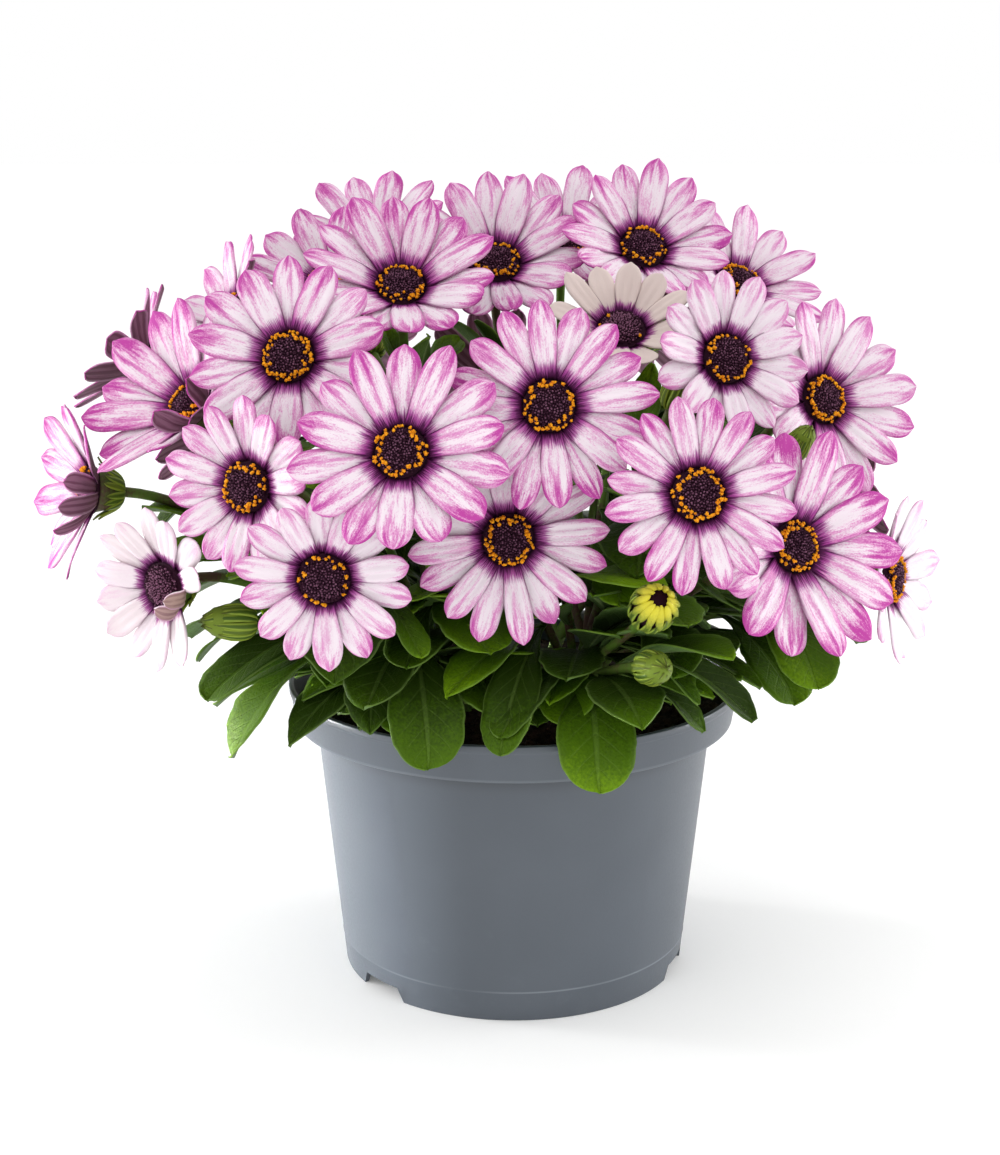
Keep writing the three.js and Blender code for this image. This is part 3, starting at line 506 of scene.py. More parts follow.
def petalFinish(finish):
    u, v, side = finish.along()
    tint, pink = finish.kept("tint"), finish.kept("pink")
    streaks = finish.noise(finish.vector(u * 5 + tint * 53, v * 1.7 + tint * 31, tint * 17), 1.0, 4.0, 0.6)
    fine = finish.noise(finish.vector(u * 34 + tint * 11, v * 7, tint * 7), 1.0, 3.0)
    grain = finish.noise(finish.vector(u * 40 + tint * 71, v * 46, tint * 3), 1.0, 2.0, 0.6)
    ridges = finish.ridges(u)
    tips = finish.between(v + (streaks - 0.5) * 0.8, 0.4, 1.06)
    wash = finish.between(streaks + (fine - 0.5) * 0.34 + (grain - 0.5) * 0.5 + tips * 0.1, 0.37, 0.76)
    edges = finish.between(side + (fine - 0.5) * 0.4, 0.55, 1.05)
    amount = (0.06 + wash * (0.52 + 0.42 * tips) + tips * 0.3 + edges * 0.26 + (grain - 0.5) * 0.4 * tips) * pink
    finish.ground(finish.between(pink, 0.0, 0.3), "cream", "white")
    finish.over(finish.between(amount, 0.02, 0.5), "rose")
    finish.over(finish.between(amount, 0.4, 1.02), "magenta")
    depth = v + (fine - 0.5) * 0.24 + (streaks - 0.5) * 0.14 - side * 0.02
    finish.over(finish.between(depth, 0.175, 0.09) * 0.92, "feather")
    finish.over(finish.between(depth, 0.1, 0.035), "violet")
    finish.over(finish.between(v + (fine - 0.5) * 0.05, 0.045, 0.0), "heart")
    # Near the heart the ray margins darken: partly the violet that runs along their edges, partly painted shade where
    # the rays meet.
    nearHeart = finish.between(v + (streaks - 0.5) * 0.3, 0.5, 0.12)
    finish.over(finish.between(side, 0.84, 0.98) * nearHeart * 0.75, "violet")  # dark lines between the rays
    finish.paint(None, fine + grain * 0.5 + ridges * 0.3, 0.3, 0.0003)


def petalBackFinish(finish):
    u, v, side = finish.along()
    tint, pink = finish.kept("tint"), finish.kept("pink")
    streaks = finish.noise(finish.vector(u * 9 + tint * 29, v * 1.3, tint * 41), 1.0, 3.0)
    fine = finish.noise(finish.vector(u * 50, v * 9 + tint * 13, tint * 5), 1.0, 2.0)
    ridges = finish.ridges(u)
    dark = finish.between(streaks + ridges * 0.14 + (fine - 0.5) * 0.25, 0.38, 0.64)
    finish.ground(finish.between(pink, 0.1, 0.45), "backPale", "back")
    finish.over(dark * (0.35 + 0.45 * pink), "backStripe")
    finish.over(finish.between(side + (fine - 0.5) * 0.3, 0.74, 1.0) * 0.7, "backEdge")
    finish.paint(None, ridges * 0.5 + streaks + fine * 0.4, 0.3, 0.0003)


discColours = {"deep": "2e1022", "tip": "8a5c76", "pollen": "ffb01c", "pollenDeep": "dc780c"}


def discFinish(finish):
    tint = finish.kept("tint")
    speck = finish.noise(finish.place(), 2600.0, 2.0)
    finish.ground(finish.between(tint + (speck - 0.5) * 0.9, 0.42, 1.25), "deep", "tip")
    finish.paint(None, speck, 0.4, 0.0002)


def pollenFinish(finish):
    speck = finish.noise(finish.place(), 2200.0, 2.0)
    finish.ground(finish.between(speck, 0.35, 0.62), "pollenDeep", "pollen")
    finish.paint(None, speck, 0.6, 0.0003)


leafColours = {"dark": "283c0a", "mid": "49690c", "bright": "7aa212", "rib": "86a552", "edge": "8fae5c",
               "back": "637f48", "backRib": "8fa66c"}


def leafFinish(finish, isBack=False):
    _, v, side = finish.along()
    tint = finish.kept("tint")
    place = finish.place()
    patches = finish.noise(place, 55.0, 3.0)
    fine = finish.noise(place, 1300.0, 3.0)
    rib = finish.between(side - (1 - v) * 0.05, 0.075, 0.02)
    slant = finish.node("Math", {"operation": "SINE"}, {0: (v * 8.5 - side * 2.1) * 6.283})
    veins = finish.between(slant, 0.86, 1.0) * finish.between(side, 0.9, 0.5)
    edge = finish.between(side, 0.93, 0.99)
    # Each leaf is darker towards its base and lighter towards its tip: partly its own colour, partly painted shade
    # from the blooms above.
    tone = tint + (patches - 0.5) * 0.6 + (fine - 0.5) * 0.6 + (v - 0.7) * 1.0
    if isBack:
        finish.ground(finish.between(tone, 0.0, 1.0) * 0.5, "back", "mid")
        finish.over(rib, "backRib")
    else:
        finish.ground(finish.between(tone, 0.0, 0.55), "dark", "mid")
        finish.over(finish.between(tone, 0.5, 1.1), "bright")
        finish.over(rib * 0.15, "rib")
        finish.over(edge * 0.22, "edge")
    finish.over(veins * 0.08, "rib")
    gloss = 0.42 + (fine - 0.5) * 0.3 + (patches - 0.5) * 0.15
    finish.paint(gloss, fine * 0.9 - rib * 1.0 - veins * 0.35, 0.75, 0.0004)


def leafBackFinish(finish):
    leafFinish(finish, True)


budColours = {"bract": "3f5a1c", "margin": "8fa53c", "yellow": "b3b83c", "tip": "4a3a2a", "ray": "6f8428",
              "rayTip": "d6cd3c", "stalk": "5f8030", "dusky": "5a4238"}


def bractFinish(finish):
    _, v, side = finish.along()
    tint = finish.kept("tint")
    finish.ground(finish.between(side, 0.3, 0.8), "bract", "margin")
    finish.over(tint, "yellow")
    finish.over(finish.between(v, 0.8, 1.0) * 0.5, "tip")
    finish.paint(None, side, 0.2, 0.0002)


def budRayFinish(finish):
    tint = finish.kept("tint")
    fine = finish.noise(finish.place(), 1100.0, 2.0)
    finish.ground(finish.between(tint + (fine - 0.5) * 0.4, 0.1, 0.9), "ray", "rayTip")
    finish.paint(None, fine, 0.3, 0.0002)


def stalkFinish(finish):
    place = finish.place()
    patches, fine = finish.noise(place, 60.0, 2.0), finish.noise(place, 1400.0, 2.0)
    finish.ground(finish.between(patches + (fine - 0.5) * 0.3, 0.4, 0.68), "stalk", "dusky")
    finish.paint(None, fine, 0.4, 0.0002)


potColours = {"body": "424a54", "worn": "48505a", "scuffAndLipHighlight": "6c747c", "seam": "8a929a", "paintedShadeUnderBand": "2b3138"}


def potFinish(finish):
    place = finish.place()
    broad, fine = finish.noise(place, 18.0, 3.0), finish.noise(place, 1500.0, 2.0)
    height = finish.node("SeparateXYZ", {}, {0: place}, 2)
    scuffs = finish.between(finish.noise(place, 120.0, 5.0, 0.7) - height * 4, 0.5, 0.72)
    finish.ground(finish.between(broad + (fine - 0.5) * 0.2, 0.35, 0.7), "body", "worn")
    finish.over(scuffs * 0.15, "scuffAndLipHighlight")
    seam = finish.between(abs(height - pot["seam"] / 1000 - 0.0007), 0.0004, 0.0001)
    finish.over(seam * finish.between(broad, 0.3, 0.7) * 0.5, "seam")
    band = pot["bandHeight"] / 1000
    # Painted highlight: a lighter line along the lower edge of the rim band, in the colour of the scuffs.
    lipHighlight = finish.between(abs(height - band - 0.0004), 0.0007, 0.0001)
    finish.over(lipHighlight * 0.4, "scuffAndLipHighlight")
    # Painted shade: a darker band on the body just under the rim band, where its shadow falls.
    under = finish.between(height, band - 0.006, band - 0.0006) * finish.between(height, band, band - 0.0004)
    finish.over(under * 0.75, "paintedShadeUnderBand")
    finish.paint(0.42 + (fine - 0.5) * 0.18 + scuffs * 0.12, fine, 0.12, 0.0002)


soilColours = {"wet": "120b08", "dry": "3a281e", "fibre": "6d5442"}


def soilFinish(finish):
    place = finish.place()
    lumps, fine = finish.noise(place, 260.0, 4.0, 0.7), finish.noise(place, 1700.0, 3.0)
    finish.ground(finish.between(lumps, 0.35, 0.65), "wet", "dry")
    finish.over(finish.between(fine, 0.66, 0.8) * 0.5, "fibre")
    finish.paint(None, lumps + fine * 0.6, 0.8, 0.0008)


finishes = {}
for name, make, colours, roughness, specular in (
        ("petal", petalFinish, petalColours, 0.65, 0.18), ("petalBack", petalBackFinish, petalColours, 0.6, 0.18),
        ("discFlorets", discFinish, discColours, 0.75, 0.12), ("pollen", pollenFinish, discColours, 0.8, 0.2),
        ("leaf", leafFinish, leafColours, 0.5, 0.1), ("leafBack", leafBackFinish, leafColours, 0.5, 0.1),
        ("bract", bractFinish, budColours, 0.5, 0.2), ("stalk", stalkFinish, budColours, 0.5, 0.2),
        ("budRay", budRayFinish, budColours, 0.5, 0.2), ("potPlastic", potFinish, potColours, 0.5, 0.85),
        ("compost", soilFinish, soilColours, 0.95, 0.15)):
    finishes[name] = Finish(name, colours, Roughness=roughness, Specular_IOR_Level=specular)
    make(finishes[name])
print("finishes made:", len(finishes))


def added(name, data):  # a new object in the scene
    thing = bpy.data.objects.new(name, data)
    bpy.context.scene.collection.objects.link(thing)
    return thing


def meshOf(bm, name):
    mesh = bpy.data.meshes.new(name)
    bm.to_mesh(mesh)
    bm.free()
    return mesh


def newMesh():  # a bmesh with the map and the numbers that the finishes read
    bm = bmesh.new()
    bm.loops.layers.uv.new("UVMap")
    for name in ("tint", "pink"):
        bm.verts.layers.float.new(name)
    return bm


def finishPiece(name, bm, used, nodes, wall=0.0):
    bmesh.ops.scale(bm, vec=(0.001, 0.001, 0.001), verts=bm.verts)
    mesh = meshOf(bm, name)
    for finish in used:
        mesh.materials.append(finishes[finish].material)
    mesh.polygons.foreach_set("use_smooth", [True] * len(mesh.polygons))
    piece = added(name, mesh)
    if wall:  # a thin sheet gets its thickness, and its back the next finish in the list
        solid = piece.modifiers.new("wall", "SOLIDIFY")
        solid.thickness, solid.offset, solid.material_offset = wall / 1000, -1, 1
        solid.use_even_offset = False
    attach(piece, "root")
    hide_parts(*nodes)
    return piece


def addSheet(bm, across, along, place, material, **numbers):  # a grid whose corners are put where place says
    made = bmesh.ops.create_grid(bm, x_segments=across, y_segments=along, size=0.5, calc_uvs=True)
    layers = [(bm.verts.layers.float[name], value) for name, value in numbers.items()]
    for vert in made["verts"]:
        vert.co = place(vert.co.x * 2, vert.co.y + 0.5)
        for layer, value in layers:
            vert[layer] = value
    for face in {face for vert in made["verts"] for face in vert.link_faces}:
        face.material_index = material


def addBlade(bm, blade, across, along, shape, **numbers):
    rows = []
    for i in range(along + 1):
        share = 1 - (1 - i / along) ** 1.45  # the rows lie closer towards the tip
        rows.append((share, Vector(blade.middle(share)), [Vector(way) for way in blade.frame(share)]))

    def place(u, v):
        share, middle, (way, side, top) = rows[round(v * along)]
        shift, lift, push = shape(u, share)
        return middle - side * shift + top * lift + way * push

    addSheet(bm, across, along, place, 0, **numbers)


def spun(bm, profile, steps, place=Matrix(), tint=0.0, material=0):  # a profile turned round the Z axis
    verts = [bm.verts.new((radius, 0, height)) for radius, height in profile]
    edges = [bm.edges.new(pair) for pair in zip(verts, verts[1:])]
    before = set(bm.faces)

    def whatIsNew():  # the corners are listed in order, so that every run gives the same mesh
        faces = [face for face in bm.faces if face not in before]
        return faces, list(dict.fromkeys(vert for face in faces for vert in face.verts))

    bmesh.ops.spin(bm, geom=verts + edges, cent=(0, 0, 0), axis=(0, 0, 1), angle=tau, steps=steps,
                   use_merge=True)
    bmesh.ops.remove_doubles(bm, verts=whatIsNew()[1], dist=1e-4)
    faces, made = whatIsNew()
    bmesh.ops.recalc_face_normals(bm, faces=faces)
    bmesh.ops.transform(bm, matrix=place, verts=made)
    layer = bm.verts.layers.float["tint"]
    for vert in made:
        vert[layer] = tint
    for face in faces:
        face.material_index = material
    return made


petal = {"across": 10, "along": 18, "farAcross": 6, "farAlong": 12, "wall": 0.36, "wider": 0.97, "full": (0.4, 0.58),
         "tip": (0.62, 0.74), "base": 0.56, "groove": 0.24, "channel": 0.1, "blunt": (1.9, 2.4),
         "length": (0.93, 1.03), "curledLength": (0.6, 0.75), "tuck": 0.8, "curledWider": 1.3, "pink": (0.85, 1.15),
         "roll": (-9, 9), "bend": (-8, 6), "ripple": (0.05, 0.3), "droop": (-0.05, 0.1), "skew": (-0.12, 0.12)}


def rayShape(blade, random):
    half = petal["wider"] * blade.half * (petal["curledWider"] if blade.curled else 1)
    full, tip, blunt = between(random, petal["full"]), between(random, petal["tip"]), between(random, petal["blunt"])
    phase, ripple, droop = random() * wave, between(random, petal["ripple"]), between(random, petal["droop"])
    skew = between(random, petal["skew"])

    def shape(u, share):
        wide = petal["base"] + (1 - petal["base"]) * smooth(share, -0.15, full)
        if share > tip:
            wide *= max(0.03, 1 - ((share - tip) / (1 - tip)) ** blunt) ** 0.5
        body = sin(pi * clamp(share * 1.15))
        lift = petal["groove"] * cos(3 * pi * u) * body * clamp(wide * 1.4)
        lift += petal["channel"] * half * u * u * (1.2 - 2.0 * share)
        lift += ripple * sin(wave * share + phase + 1.3 * u) * share - droop * half * u * u * share
        return half * wide * (u + skew * (1 - u * u) * share), lift, -0.016 * blade.length * u * u * share

    return shape


def makePetals(bloom):
    random = seededRandom(bloom.number + 300)
    bm = newMesh()
    isFar = bloom.kind == "whole"
    across, along = (petal["farAcross"], petal["farAlong"]) if isFar else (petal["across"], petal["along"])
    for blade in bloom.blades:
        pink = bloom.pink * between(random, petal["pink"])
        blade.root = blade.root - petal["tuck"] * blade.out  # its foot goes in under the edge of the disc
        longer = between(random, petal["curledLength" if blade.curled else "length"])
        blade.length = petal["tuck"] + blade.length * longer
        blade.roll += radians(between(random, petal["roll"]))
        blade.rise[1] += radians(between(random, petal["bend"]))
        addBlade(bm, blade, across, along, rayShape(blade, random), tint=random(), pink=pink)
    node = bloom.name if isFar else bloom.name + "_rays"
    finishPiece(f"petals_{bloom.number:02d}", bm, ("petal", "petalBack"), [node], petal["wall"])


disc = {"radius": 6.3, "young": 0.97, "dome": 2.6, "florets": 210, "turn": 2.39996, "spread": 0.88, "lean": 0.75,
        "floret": 0.32, "tall": (1.2, 2.6), "tint": (0.6, 1.15), "pale": 0.35, "ring": 62, "outermost": 0.92,
        "ringWidth": 0.3, "filament": (0.34, 0.46, 0.95), "open": 1.2, "pollen": 0.44}


def discHeight(share):  # how high the dome stands at this share of its radius
    return core["half"] - 0.1 + disc["dome"] * (1 - share ** 2.4)


def addBlob(bm, subdivisions, size, place, material, bumps=0.0, tints=(0.0, 1.0)):
    made = bmesh.ops.create_icosphere(bm, subdivisions=subdivisions, radius=1.0)["verts"]
    layer = bm.verts.layers.float["tint"]
    for vert in made:
        vert[layer] = tints[0] + (tints[1] - tints[0]) * (vert.co.z * 0.5 + 0.5)
        if bumps:
            vert.co *= 1 + bumps * noise.noise(vert.co * 2.2 + place.translation * 3)
        vert.co = Vector((vert.co.x * size[0], vert.co.y * size[1], vert.co.z * size[2]))
    bmesh.ops.transform(bm, matrix=place, verts=made)
    for face in {face for vert in made for face in vert.link_faces}:
        face.material_index = material


def onDome(share, radius, angle, lean, lift=0.0):  # a place on the dome, whose Z axis leans outwards
    spot = Vector((share * radius * cos(angle), share * radius * sin(angle), discHeight(share) + lift))
    return Matrix.Translation(spot) @ Matrix.Rotation(angle, 4, "Z") @ Matrix.Rotation(lean, 4, "Y")


def makeDisc(bloom):
    random = seededRandom(bloom.number + 600)
    bm = newMesh()
    place = bloom.place()
    profile = [(0, -0.75), (6.5, -0.75), (6.7, 0), (6.5, 0.5), (disc["radius"], core["half"])]
    isYoung = bloom.kind == "young"
    radius = disc["radius"] * (disc["young"] if isYoung else 1)
    profile += [(share * radius, discHeight(share) - 0.25) for share in (0.97, 0.85, 0.65, 0.4, 0.2, 0)]
    spun(bm, profile, 28, place)
    for k in range(disc["florets"]):
        share = disc["spread"] * sqrt((k + 0.5) / disc["florets"]) + between(random, (-0.03, 0.03))
        angle = disc["turn"] * k + between(random, (-0.25, 0.25)) / sqrt(k + 1)
        spot = place @ onDome(share, radius, angle, disc["lean"] * share)
        size = disc["floret"] * between(random, (0.75, 1.25))
        sway = Matrix.Rotation(between(random, (-0.5, 0.5)), 4, "X")
        addBlob(bm, 1, (size, size, between(random, disc["tall"]) * size), spot @ sway, 0, 0,
                (0.0, between(random, disc["tint"]) + (disc["pale"] if isYoung else 0)))
    for k in range(disc["ring"]):
        angle = tau * (k + between(random, (-0.35, 0.35))) / disc["ring"]
        share = disc["outermost"] - disc["ringWidth"] * random() ** 1.3
        spot = place @ onDome(share, radius, angle, between(random, (0.6, 1.1)), 0.15)
        addBlob(bm, 1, disc["filament"], spot, 0, 0, (0.0, 0.45))
        if random() < bloom.pollen * disc["open"]:
            size = disc["pollen"] * between(random, (0.7, 1.25))
            head = Matrix.Translation((0, 0, between(random, (0.6, 1.3))))
            addBlob(bm, 2, (size, size, 0.9 * size), spot @ head, 1, 1.1)
        else:
            random(), random()  # so that the next floret draws what it always does
    node = bloom.name if bloom.kind == "whole" else bloom.name + "_disc"
    finishPiece(f"disc_{bloom.number:02d}", bm, ("discFlorets", "pollen"), [node])


for bloom in blooms:
    makePetals(bloom)
    makeDisc(bloom)
print("blooms made:", len(blooms))


leaf = {"across": 8, "along": 24, "wider": 1.1, "wall": 0.45, "petiole": 0.1, "widest": (0.6, 0.76),
        "teeth": 0.11, "toothed": (0.4, 0.93), "toothStep": 6.2, "fold": (0.05, 0.28), "wave": (0.3, 1.1),
        "skew": (-0.14, 0.14), "rib": 0.5, "ribHalf": 0.14, "round": 0.5, "tint": (0.15, 1.0),
        "low": 112, "lowRound": 0.6, "lowTint": (-0.1, 0.7)}


def leafShape(blade, random, isLow):
    widest, fold = between(random, leaf["widest"]), between(random, leaf["fold"])
    swell, phase, skew = between(random, leaf["wave"]), random() * wave, between(random, leaf["skew"])
    isRound = random() < leaf["lowRound" if isLow else "round"]
    depth = leaf["teeth"] * between(random, (0.3, 1.2))
    first, last = leaf["toothed"]

    def shape(u, share):
        wide = leaf["petiole"] + (1 - leaf["petiole"]) * smooth(share, 0.06, widest) ** 1.15
        if share > widest:
            t = (share - widest) / (1 - widest)
            wide *= (1 - t ** 3.0) ** 0.5 if isRound else (1 - t ** 1.7) ** 0.85
            wide = max(wide, 0.05)
        if first < share < last:  # small teeth that lean towards the tip
            tooth = ((share - first) * leaf["toothStep"]) % 1
            wide *= 1 + depth * (tooth - 0.55) * smooth(share, first, first + 0.1)
        lift = fold * blade.half * wide * abs(u) ** 1.25
        lift -= leaf["rib"] * exp(-(u / leaf["ribHalf"]) ** 2) * smooth(share, 0, 0.3)
        lift += swell * u * u * sin(9 * share + phase + 1.5 * u) * smooth(share, 0.1, 0.6)
        return leaf["wider"] * blade.half * wide * (u + skew * share * share), lift, 0

    return shape


bract = {"outer": 9, "inner": 9, "half": 1.25, "across": 2, "along": 6, "off": 0.25}


def addBracts(bm, head, line, half, rows, random, yellow):  # narrow green bracts along a line turned about the axis
    place = head.place()
    for row, (count, reach) in enumerate(rows):
        for k in range(count):
            angle = tau * (k + 0.5 * row + between(random, (-0.12, 0.12))) / count
            turn = place @ Matrix.Rotation(angle, 4, "Z")
            ends, off = reach * between(random, (0.9, 1.04)), bract["off"] * (2 - row)

            def shape(u, v):
                radius, _, height = line.at(v * ends)
                wide = half * (1 - v ** 2.2) ** 0.7 * (0.55 + 0.9 * v * (1.35 - v)) + 0.04
                return turn @ Vector((radius + off - 0.12 * u * u, wide * u, height))

            addSheet(bm, bract["across"], bract["along"], shape, 2, tint=yellow * random(), pink=0)


def makeLeaves(shoot):
    random = seededRandom(shoot["seed"] + 250)
    bm = newMesh()
    for blade in shoot["blades"] + shoot["more"]:
        isLow = blade.middle(1)[2] < leaf["low"]
        tint = between(random, leaf["lowTint" if isLow else "tint"])
        addBlade(bm, blade, leaf["across"], leaf["along"], leafShape(blade, random, isLow), tint=tint, pink=0)
    for head in shoot["heads"]:
        if head in blooms:
            line = Curve((1.5, 0, -8.9), (5.6, 0, -9), (5.9, 0, -3), (9.0, 0, -1.3))
            addBracts(bm, head, line, bract["half"], ((bract["outer"], 0.86), (bract["inner"], 1.0)), random, 0.3)
        else:
            size = head.reach
            tip = (0.12 * size, 1.3 * size) if head.kind == "green" else (0.8 * size, 0.62 * size)
            line = Curve((1.5, 0, -1.5 * size), (1.12 * size, 0, -1.4 * size), (1.02 * size, 0, 0.4 * size),
                         (tip[0], 0, tip[1]))
            addBracts(bm, head, line, 0.23 * size, ((8, 0.8), (8, 1.0)), random, 0.15)
    finishPiece("leaves_" + shoot["name"], bm, ("leaf", "leafBack", "bract", "bract"),
                ["shoot_" + shoot["name"]], leaf["wall"])


def addTube(bm, points, radii):
    line = bpy.data.curves.new("tube", "CURVE")
    line.dimensions, line.bevel_depth, line.bevel_resolution, line.use_fill_caps = "3D", 1.0, 2, True
    spline = line.splines.new("POLY")
    spline.points.add(len(points) - 1)
    for knot, point, radius in zip(spline.points, points, radii):
        knot.co, knot.radius = (*point, 1), radius
    holder = bpy.data.objects.new("tube", line)
    bm.from_mesh(holder.to_mesh())
    holder.to_mesh_clear()
    bpy.data.objects.remove(holder)
    bpy.data.curves.remove(line)


stem = {"radius": 2.0, "root": 22, "neck": 1.5, "steps": 22}
# Radius and height, in mm for the green cup under a bloom, and as shares of a bud's reach.
cupProfile = [(0, -9), (1.5, -9), (3.4, -8.4), (4.7, -6.6), (5.4, -4), (6.1, -1.2), (5.6, -0.7), (0, -0.7)]
budProfile = [(0, -1.5), (0.3, -1.5), (0.6, -1.15), (0.78, -0.6), (0.82, 0.0), (0.68, 0.6)]
budTops = {"green": [(0.36, 1.0), (0, 1.18)], "opening": [(0.5, 0.72), (0.3, 0.8), (0, 0.84)]}
budRays = {"count": 13, "size": (0.15, 0.19), "length": (0.6, 0.74), "lean": (-0.62, -0.36)}


def makeStalks(shoot):
    random = seededRandom(shoot["seed"] + 350)
    bm = newMesh()
    bottom = np.array([shoot["foot"][0], shoot["foot"][1], soil["height"] - stem["root"]])
    points = [bottom] + [shoot["stem"].at(k / stem["steps"]) for k in range(stem["steps"] + 1)]
    addTube(bm, points, [stem["radius"] * (1.1 - 0.3 * k / len(points)) for k in range(len(points))])
    for head in shoot["heads"]:
        points = [head.stalk.at(k / stem["steps"]) for k in range(stem["steps"] + 1)]
        radii = [stalk["radius"] + (stem["neck"] - stalk["radius"]) * (k / stem["steps"]) ** 3
                 for k in range(len(points))]
        addTube(bm, points, radii)
        place = head.place()
        if head in blooms:
            spun(bm, cupProfile, 20, place)
            continue
        size = head.reach
        profile = [(radius * size, height * size) for radius, height in budProfile + budTops[head.kind]]
        if head.kind == "green":
            spun(bm, profile, 20, place, 0.05, 1)
            continue
        spun(bm, profile, 20, place, 0.1, 2)
        for k in range(budRays["count"]):  # they are still rolled up round the dark middle
            angle = tau * (k + between(random, (-0.12, 0.12))) / budRays["count"]
            spot = Matrix.Rotation(angle, 4, "Z") @ Matrix.Translation((0.68 * size, 0, 0.62 * size))
            tilt = Matrix.Rotation(between(random, budRays["lean"]), 4, "Y")
            across, thick = budRays["size"]
            addBlob(bm, 2, (across * size, thick * size, between(random, budRays["length"]) * size),
                    place @ spot @ tilt, 1, 0.2, (0.1, 1.1))
    finishPiece("stalks_" + shoot["name"], bm, ("stalk", "budRay", "discFlorets"),
                ["shoot_" + shoot["name"]])


for shoot in shoots:
    makeLeaves(shoot)
    makeStalks(shoot)
print("shoots made:", len(shoots))


def bodyRadius(height):  # of the pot's outside, under its rim band
    return pot["foot"] + (pot["shoulder"] - pot["foot"]) * height / pot["bandHeight"]


def cutWith(piece, cutters):  # takes the cutters out of the piece for good
    tool = added("cutter", meshOf(cutters, "cutter"))
    cut = piece.modifiers.new("cut", "BOOLEAN")
    cut.object, cut.solver = tool, "EXACT"
    bpy.context.view_layer.update()
    mesh = bpy.data.meshes.new_from_object(piece.evaluated_get(bpy.context.evaluated_depsgraph_get()))
    piece.modifiers.remove(cut)
    piece.data = mesh
    bpy.data.objects.remove(tool)


def makePot():
    foot, wall, pad, rise, band, rim, skirt, seam, bandHeight, height = (pot[name] for name in (
        "foot", "wall", "pad", "floorRise", "band", "rim", "skirt", "seam", "bandHeight", "height"))
    inner, ridge = bandHeight + wall, bodyRadius(seam) + pot["ridge"]
    bm = newMesh()
    profile = [
        (0, 0), (pad, 0), (pad + rise / 2, rise), (foot - wall, rise), (foot - wall, 0), (foot, 0),
        (bodyRadius(seam), seam), (ridge, seam + 0.6), (ridge, seam + 0.8), (bodyRadius(seam + 1.4), seam + 1.4),
        (bodyRadius(25), 25), (bodyRadius(50), 50), (bodyRadius(bandHeight), bandHeight), (band, bandHeight),
        (rim - 0.5, height - 2.4), (rim, height - 1.8), (rim, height), (rim - wall - 0.2, height),
        (band - wall, inner), (bodyRadius(inner) - wall, inner), (bodyRadius(skirt) - wall, skirt),
        (pad + rise / 2 - wall / 2, skirt), (pad - wall / 2, wall), (0, wall),
    ]
    spun(bm, profile, pot["steps"])
    corners = [edge for edge in bm.edges if len(edge.link_faces) == 2 and edge.calc_face_angle() > 0.3]
    bmesh.ops.bevel(bm, geom=corners, offset=pot["bevel"], offset_type="OFFSET", affect="EDGES", segments=3,
                    profile=0.5, material=-1)
    piece = finishPiece("nursery_pot", bm, ("potPlastic",), ["pot"])
    cutters = bmesh.new()
    half, tall = pot["notchWidth"] / 2000, pot["notchHeight"] / 1000
    for angle in pot["notches"]:
        made = bmesh.ops.create_cube(cutters, size=1)["verts"]
        for vert in made:  # narrower at its top, like a tab pressed out of the skirt
            wide = half * (0.74 if vert.co.z > 0 else 1.02)
            vert.co = (vert.co.x * 0.012 + foot / 1000, vert.co.y * 2 * wide, tall if vert.co.z > 0 else -0.001)
        bmesh.ops.rotate(cutters, cent=(0, 0, 0), matrix=Matrix.Rotation(radians(angle), 3, "Z"), verts=made)
    ring = (pad + foot) / 2 + 1
    for i in range(pot["drains"]):
        angle = tau * (i + 0.5) / pot["drains"]
        place = Matrix.Translation((ring * cos(angle) / 1000, ring * sin(angle) / 1000, 0))
        bmesh.ops.create_cone(cutters, cap_ends=True, segments=24, radius1=pot["drainRadius"] / 1000,
                              radius2=pot["drainRadius"] / 1000, depth=4 * skirt / 1000, matrix=place)
    cutWith(piece, cutters)
    piece.data.set_sharp_from_angle(angle=radians(pot["crease"]))


def soilTop(x, y):
    share = hypot(x, y) / (pot["band"] - pot["wall"])
    spot = Vector((x, y, 3.1))
    lump = 1.1 * noise.noise(spot * 0.09) + 0.7 * noise.noise(spot * 0.35) + 0.35 * noise.noise(spot * 1.1)
    return soil["height"] + soil["crown"] * (1 - share * share) + lump


def makeSoil():
    random = seededRandom(soil["seed"])
    wall, pad, skirt = pot["wall"], pot["pad"], pot["skirt"]
    inner = pot["bandHeight"] + wall
    bm = newMesh()
    edge = pot["band"] - wall - gap
    profile = [(0, wall + gap), (pad - wall, wall + gap), (pad + 0.8, skirt + gap),
               (bodyRadius(skirt) - wall - gap, skirt + gap), (bodyRadius(inner) - wall - gap, inner + gap),
               (edge, inner + gap), (edge, soil["height"] - 0.8)]
    rings = soil["rings"]
    profile += [(edge * (rings - k) / rings, soil["height"]) for k in range(1, rings + 1)]
    for vert in spun(bm, profile, soil["steps"]):
        if vert.co.z > soil["height"] - 0.1:
            vert.co.z = soilTop(vert.co.x, vert.co.y)
    for _ in range(soil["crumbs"]):
        radius, angle = (edge - 1) * sqrt(random()), tau * random()
        x, y = radius * cos(angle), radius * sin(angle)
        size = soil["crumb"][0] + soil["crumb"][1] * random() ** 3
        long = between(random, soil["grain" if random() < soil["grains"] else "fibre"])
        thin = 1 / sqrt(long)
        turn = Matrix.Rotation(tau * random(), 4, "Z") @ Matrix.Rotation(between(random, (-0.5, 0.5)), 4, "Y")
        place = Matrix.Translation((x, y, soilTop(x, y) + 0.2 * size)) @ turn
        addBlob(bm, 1, (size * long, size * thin, size * thin * 0.8), place, 0, 0.5)
    finishPiece("compost", bm, ("compost",), ["soil"])


makePot()
makeSoil()
print("pot and compost made")

view = {"width": 1000, "height": 1155, "focus": 2000, "tilt": 13.896, "at": (-4.02, -565.3, 255.5), "sensor": 36}


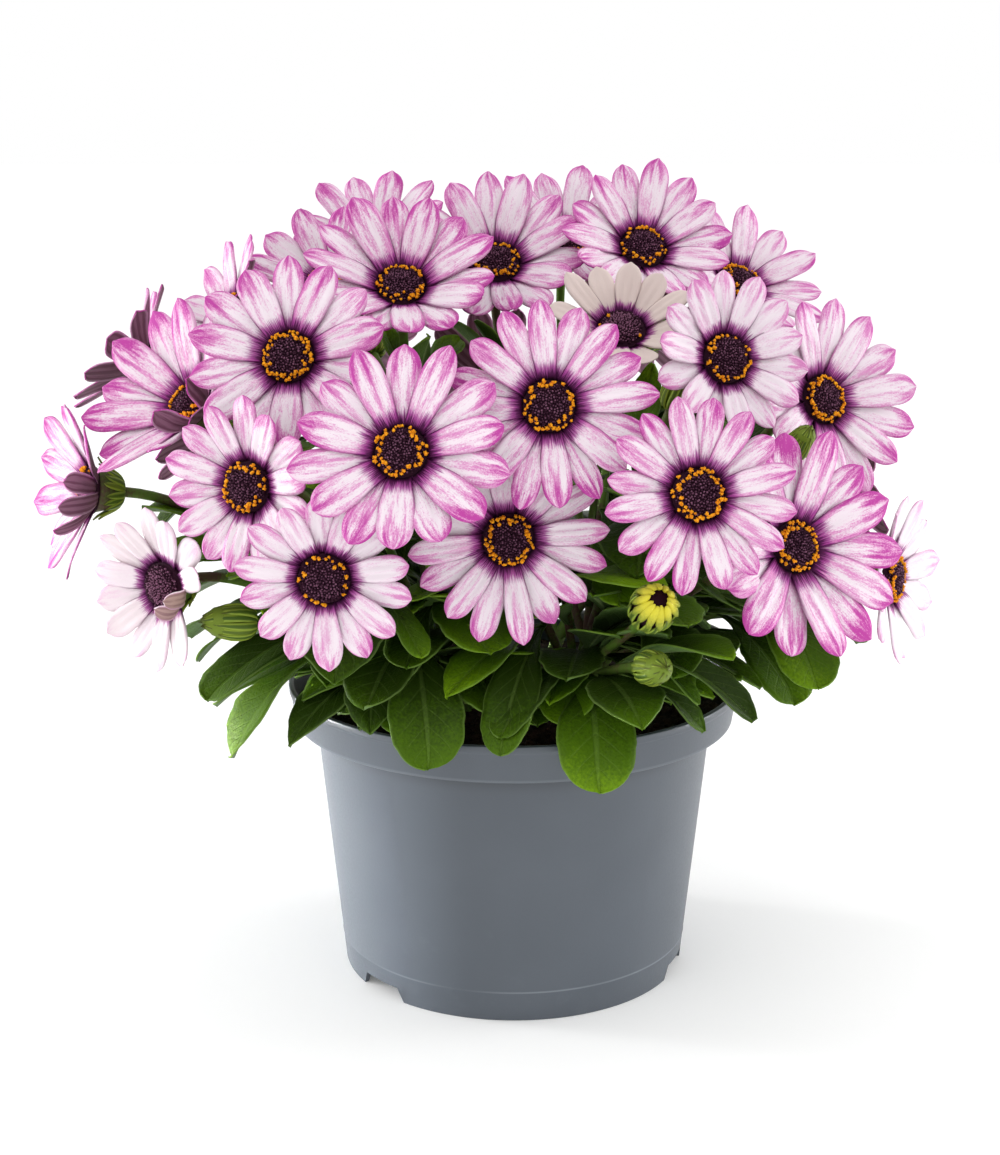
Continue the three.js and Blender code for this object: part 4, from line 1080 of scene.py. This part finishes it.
def setCamera():
    camera = bpy.data.cameras.new("camera")
    camera.sensor_width = view["sensor"]
    camera.lens = view["focus"] / max(view["width"], view["height"]) * view["sensor"]
    holder = added("camera", camera)
    holder.location = [part / 1000 for part in view["at"]]
    holder.rotation_euler = (radians(90 - view["tilt"]), 0, 0)
    bpy.context.scene.camera = holder


# Each light: where it stands, the height it faces over the floor, its size, spread in degrees and power. The first
# is a little warmer, and the last two are narrow and reach little more than the pot.
studio = {"world": 1.0, "floor": 6, "warm": (1.0, 0.985, 0.96), "lights": [
    ((-0.6, -1.0, 1.3), 0.13, 0.8, 180, 2.6),
    ((-1.0, 0.2, 0.2), 0.13, 0.5, 180, 5.8),
    ((1.1, 0.3, 0.45), 0.13, 0.6, 180, 4.0),
    ((-0.95, 0.25, 0.03), 0.01, 0.22, 10, 0.25),
    ((0.9, 0.1, 0.03), 0.015, 0.3, 12, 0.06),
]}


def setStudio():
    bm = bmesh.new()
    bmesh.ops.create_grid(bm, x_segments=1, y_segments=1, size=studio["floor"])
    floor = added("floor", meshOf(bm, "floor"))
    finish = Finish("floorPaint", {"pale": "f4f4f4", "white": "f6f6f6"}, Roughness=0.85, Specular_IOR_Level=0.1,
                    Emission_Strength=0.12, Emission_Color=(1, 1, 1, 1))
    finish.ground(finish.noise(finish.place(), 6.0, 2.0), "pale", "white")
    finish.paint()
    floor.data.materials.append(finish.material)
    world = bpy.data.worlds.new("studio")
    world.use_nodes = True
    sky = world.node_tree.nodes["Background"].inputs
    sky["Color"].default_value, sky["Strength"].default_value = (1, 1, 1, 1), studio["world"]
    bpy.context.scene.world = world
    for i, (at, aim, size, spread, power) in enumerate(studio["lights"], 1):
        light = bpy.data.lights.new(f"softbox_{i}", "AREA")
        light.shape, light.size, light.energy, light.spread = "DISK", size, power, radians(spread)
        light.color = studio["warm"] if i == 1 else (1, 1, 1)
        lamp = added(light.name, light)
        lamp.location = at
        lamp.rotation_euler = (Vector((0, 0, aim)) - Vector(at)).to_track_quat("-Z", "Y").to_euler()


setCamera()
setStudio()
bpy.context.scene.view_settings.view_transform = "Standard"
print("studio set")

bpy.context.view_layer.update()
